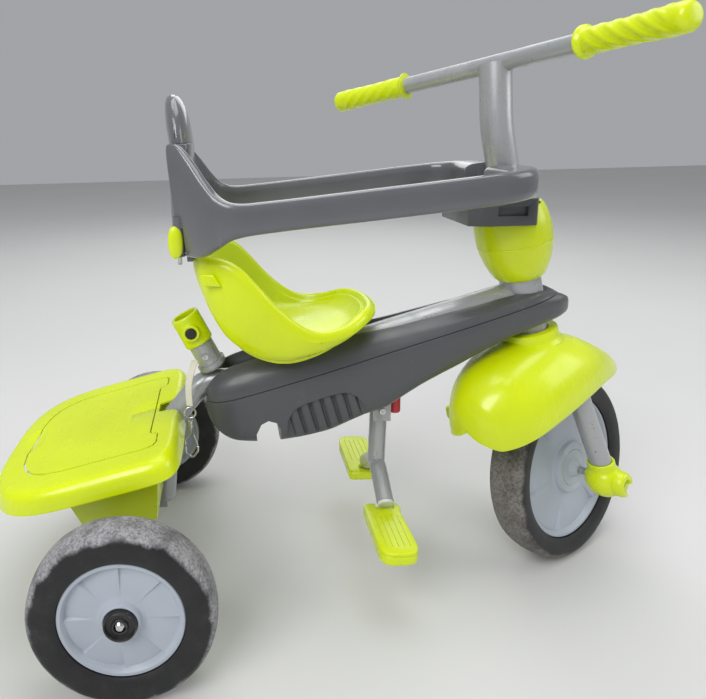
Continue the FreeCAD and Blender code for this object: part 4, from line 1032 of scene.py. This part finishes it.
def make_safety_bar():
    """The two halves of the safety bar, each a wing by the backrest that runs into a long arm."""
    def rule(u, v):
        x, y, width, low, high, side = arm_path(v)
        across, up = squared(2 * math.pi * u, 4.2)
        middle, half_height = (low + high) / 2, (high - low) / 2
        lean = side * (width / 2 * across)
        forward = -0.085 * half_height * up * (1 - ramp_up(0.05, 0.3, v))
        return (x + lean.x + forward, y + lean.y,
                middle + half_height * up + lean.x * 0.092 * ramp_up(0.5, 0.8, v))

    right = capped(skin("right_safety_bar", 56, 130, rule))
    hinge_room = round_bar("hinge_room", (66, -66, 451.4), (66, -66, 482.6), 9.4)
    worked(right, hinge_room)
    parts = []
    for low, high in ((449.6, 451.4), (482.6, 496.0)):
        parts.append(round_bar("hinge_eye", (66, -66, low), (66, -66, high), 6.5, TRIKE, 32))
    eased(right, 1.4, 3, 55)
    joined(right, *parts)
    left = copied(right, "left_safety_bar", OTHER_SIDE)
    fitted(right, 40, "safety_arm_right", "grey", "safety_arm_right")
    fitted(left, 40, "safety_arm_left", "grey", "safety_arm_left")


def make_hinge_caps():
    """The lime oval covers on the safety bar's hinges."""
    def rule(u, v):
        across, up = squared(2 * math.pi * u, 2.4)
        reach = math.sin(v * math.pi / 2)
        return (62.0 + 8.6 * across * reach, 19.0 * up * reach, 5.0 * math.cos(v * math.pi / 2))

    caps = []
    for side in (-1, 1):
        oval = skin("hinge_oval", 48, 14, rule, Matrix())
        walled(oval, 1.2)
        oval.data.transform(Matrix.Rotation(math.radians(90), 4, "X"))
        if side > 0:
            carried(oval, OTHER_SIDE)
        oval.data.transform(TRIKE @ Matrix.Translation((0, side * 0.0705, 0.4665)))
        caps.append(oval)
    both = joined(*caps)
    both.name = "hinge_ovals"
    fitted(both, 40, "frame", "lime", "hinge_caps")


# ---- footrest and pedal ------------------------------------------------------------------------------
def make_foot_plates():
    """The two lime foot plates: a thick rounded sole with fine grooves and a mouth round the tube."""
    for side, name in ((-1, "right"), (1, "left")):
        plan = []
        for x, y in ((-23, 44), (-19, 40), (19, 40), (23, 44), (23, 54), (21, 58), (22.5, 100), (23, 122),
                     (21.5, 130), (17, 135.5), (10, 138), (-10, 138), (-17, 135.5), (-21.5, 130), (-23, 122)):
            plan.append((311 + x, side * y))
        sole = plan_block("sole", plan, 90.0, 103.0)
        eased(sole, 3.0, 3, 50)
        tread = plan_block(name + "_foot_plate", plan, 102.0, 107.0)
        mouth = round_bar("mouth", (315, side * 20, 137.0), (315, side * 66, 104.0), 12.4)
        gap = block("mouth_gap", (303.5, min(side * 30, side * 54), 99),
                    (326.5, max(side * 30, side * 54), 120))
        eased(gap, 5.0, 3)
        worked(tread, gap)
        eased(tread, 1.3, 3, 50)
        worked(sole, mouth)
        for step in range(5):
            x = 297 + 7 * step
            groove = block("groove", (x - 0.45, min(side * 66, side * 126), 106.1),
                           (x + 0.45, max(side * 66, side * 126), 110))
            worked(tread, groove)
        joined(tread, sole)
        fitted(tread, 40, "footrest", "lime", "foot_plate_" + name)


def make_pedal():
    """The left pedal, a rounded block with raised treads."""
    pedal = from_node("pedal_left", "left_pedal_block")
    modified(pedal, "REMESH", mode="VOXEL", voxel_size=0.0012)
    modified(pedal, "SMOOTH", factor=0.6, iterations=5)
    fitted(pedal, 50, "pedal", "lime", "pedal_left")


# ---- bucket ------------------------------------------------------------------------------------------
LID_SECTION = (
    # share of the way, reach, height
    (0.0, 0.0, 0.0), (0.3, 0.5, 0.0), (0.5, 0.80, 0.0), (0.6, 0.90, -0.2), (0.68, 0.935, -1.6),
    (0.75, 0.96, -4.6), (0.82, 0.978, -9.0), (0.90, 0.990, -15.5), (1.0, 1.0, -24.0),
)


def lid_point(u, v):
    """A point on the lid's outer skin: u goes round it, v from its middle to the foot of its skirt."""
    stretch = 1 / math.cos(LID_SLOPE)
    angle = 2 * math.pi * u
    front = math.cos(angle) > 0
    across, along = squared(angle, 9.0 if front else 3.1)
    reach, height = row_at(LID_SECTION, v)
    length = 110.0 if front else 123.0
    return ((-55.0 + length * across * reach) * stretch, 145.0 * along * reach, height)


HATCH = ((21, 64), (23, 69), (31, 71), (31, 93), (28, 99), (22, 102), (12, 103), (-84, 103), (-104, 100),
         (-121, 92), (-134, 79), (-142, 60), (-146, 34))
HATCH_MIDDLE = -60
SCOOP_PLACE = (-0.146, 0.0, 0.0055)


def hatch_plan(grow):
    """The hatch's outline: rounded corners at the back and two hinge ears at the front."""
    near = [(x + (grow if x > HATCH_MIDDLE else -grow), y + grow) for x, y in HATCH]
    return near + [(x, -y) for x, y in reversed(near)]


def make_lid():
    """The bucket's flat-topped lid and the hatch in it, with a finger scoop at the back."""
    lid = walled(skin("lid_shell", 144, 56, lid_point, Matrix()), 2.8)
    hatch = copied(lid, "lid_door")
    worked(lid, plan_block("hatch_hole", hatch_plan(0.9), -8, 12, Matrix()))
    worked(hatch, plan_block("hatch_form", hatch_plan(-0.9), -8, 12, Matrix()), "INTERSECT")
    worked(lid, plan_block("tube_notch", [(26, -12), (82, -24), (82, 24), (26, 12)], -60, 40, Matrix()))
    for piece in (lid, hatch):
        cleared()
        bpy.ops.mesh.primitive_uv_sphere_add(segments=48, ring_count=24, radius=1)
        scoop = named("finger_scoop")
        scoop.scale = (0.020, 0.046, 0.0078)
        settled(scoop, Matrix.Translation(SCOOP_PLACE))
        worked(piece, scoop)
        eased(piece, 0.6, 2, 40)
        piece.data.transform(LID)
    fitted(lid, 35, "frame", "lime", "bucket_lid")
    fitted(hatch, 35, "lid_hatch", "lime", "lid_hatch")


def make_bucket():
    """The tapered bucket with softened corners."""
    bucket = from_node("bucket", "rear_bucket")
    with all_faces_picked(bucket):
        bpy.ops.mesh.dissolve_limited(angle_limit=math.radians(2))
    eased(bucket, 1.1, 3, 30)
    fitted(bucket, 35, "frame", "lime", "bucket")


# ---- frame -------------------------------------------------------------------------------------------
def make_collar():
    """The lime locking collar on the handle socket."""
    collar = from_node("handle_collar", "socket_collar")
    modified(collar, "REMESH", mode="VOXEL", voxel_size=0.0009)
    modified(collar, "SMOOTH", factor=0.5, iterations=4)
    fitted(collar, 50, "frame", "lime", "handle_collar")


NODE_FINISHES = {
    "silver": ("main_tube", "rear_tube", "head_tube", "handle_socket", "stem", "handlebar", "axle_tube",
               "footrest_tube", "footrest_bracket"),
    "worn_silver": ("fork",),
    "steel": ("rear_axle", "axle_screws", "front_axle", "socket_rivet", "footrest_pin", "hinge_pins",
              "hatch_pin", "strap_ring", "hook_swivel", "snap_hook", "hook_gate"),
    "black": ("axle_bushes", "steering_bushes", "seat_clamp", "collar_button"),
    "rim": ("hub_discs",),
    "cover": ("pedal_crank_left",),
    "white": ("footrest_caps",),
    "red": ("latch_button",),
}


def finish_frame():
    """Give the frame's own nodes their materials."""
    for finish, nodes in NODE_FINISHES.items():
        for name in nodes:
            node = frame["nodes"][name]
            node.data.materials.clear()
            node.data.materials.append(FINISHES[finish])


# ---- add-on ------------------------------------------------------------------------------------------
class TricycleSizes(bpy.types.PropertyGroup):
    """Sizes a user may want to change."""
    rear_wheel: FloatProperty(name="Rear wheel", description="Radius of the rear tyres", default=0.100,
                              min=0.08, max=0.12, unit="LENGTH")
    rear_tyre: FloatProperty(name="Rear tyre", description="Width of the rear tyres", default=0.044,
                             min=0.03, max=0.06, unit="LENGTH")
    front_wheel: FloatProperty(name="Front wheel", description="Radius of the front tyre", default=0.1255,
                               min=0.10, max=0.14, unit="LENGTH")
    front_tyre: FloatProperty(name="Front tyre", description="Width of the front tyre", default=0.048,
                              min=0.03, max=0.06, unit="LENGTH")
    rear_blades: IntProperty(name="Rear blades", description="Stepped sectors on each rear rim", default=8,
                             min=3, max=16)
    front_blades: IntProperty(name="Front blades", description="Stepped sectors on the front rim", default=6,
                              min=3, max=16)


class TricycleColours(bpy.types.PropertyGroup):
    """Colours of the main plastics and paint."""
    lime: FloatVectorProperty(name="Lime", description="Lime plastic", default=(0.66, 0.79, 0.0),
                              subtype="COLOR", min=0, max=1)
    grey: FloatVectorProperty(name="Grey", description="Glossy grey plastic", default=(0.115, 0.118, 0.130),
                              subtype="COLOR", min=0, max=1)
    cover: FloatVectorProperty(name="Cover", description="Dark grey body plastic",
                               default=(0.075, 0.077, 0.083), subtype="COLOR", min=0, max=1)
    silver: FloatVectorProperty(name="Silver", description="Silver paint on the tubes",
                                default=(0.40, 0.41, 0.42), subtype="COLOR", min=0, max=1)
    rim: FloatVectorProperty(name="Rims", description="Pale grey plastic of the rims",
                             default=(0.42, 0.46, 0.52), subtype="COLOR", min=0, max=1)


def operator(name, label, help_text, *steps):
    """An operator of the add-on that runs its steps in order."""
    def execute(self, context):
        for step in steps:
            step()
        return {"FINISHED"}

    return type("TRICYCLE_OT_" + name, (bpy.types.Operator,), {
        "__doc__": help_text, "bl_idname": "tricycle." + name, "bl_label": label, "execute": execute})


OPERATORS = (
    operator("stage", "Stage", "Set the camera, floor and lamps and mix the finishes",
             mix_finishes, set_camera, set_floor, set_lights),
    operator("strap", "Strap", "Make the hanging strap", make_strap),
    operator("wheels", "Wheels", "Make the three wheels", make_rear_wheels, make_front_wheel),
    operator("steering", "Steering", "Make the mudguard, fork feet and grips",
             make_fender, make_fork_ends, make_grips),
    operator("body", "Body", "Make the body cover, the head bell and the bar catch",
             make_cover, make_head_cover, make_clasp),
    operator("seat", "Seat", "Make the seat and its backrest", make_seat, make_backrest),
    operator("safety_bar", "Safety bar", "Make both halves of the safety bar and the covers of its hinges",
             make_safety_bar, make_hinge_caps),
    operator("foot_pieces", "Foot plates and pedal", "Make the foot plates and the pedal",
             make_foot_plates, make_pedal),
    operator("bucket", "Bucket", "Make the bucket, its lid and hatch", make_bucket, make_lid),
    operator("frame", "Frame", "Finish the tubes, pins and buttons", make_collar, finish_frame),
)


class TRICYCLE_PT_panel(bpy.types.Panel):
    """The tricycle's sizes, colours and pieces"""
    bl_idname = "TRICYCLE_PT_panel"
    bl_label = "Tricycle"
    bl_space_type = "VIEW_3D"
    bl_region_type = "UI"
    bl_category = "Tricycle"

    def draw(self, context):
        for group in (context.scene.tricycle_sizes, context.scene.tricycle_colours):
            for name in group.__annotations__:
                self.layout.prop(group, name)
        for operator in OPERATORS:
            self.layout.operator(operator.bl_idname)


CLASSES = (TricycleSizes, TricycleColours) + OPERATORS + (TRICYCLE_PT_panel,)


def register():
    for cls in CLASSES:
        bpy.utils.register_class(cls)
    bpy.types.Scene.tricycle_sizes = PointerProperty(type=TricycleSizes)
    bpy.types.Scene.tricycle_colours = PointerProperty(type=TricycleColours)


def unregister():
    del bpy.types.Scene.tricycle_colours
    del bpy.types.Scene.tricycle_sizes
    for cls in reversed(CLASSES):
        bpy.utils.unregister_class(cls)


def main():
    """Register the add-on, make every piece in order and write both boxes down."""
    register()
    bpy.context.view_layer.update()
    for operator in OPERATORS:
        group, name = operator.bl_idname.split(".")
        getattr(getattr(bpy.ops, group), name)()


if __name__ == "__main__":
    main()
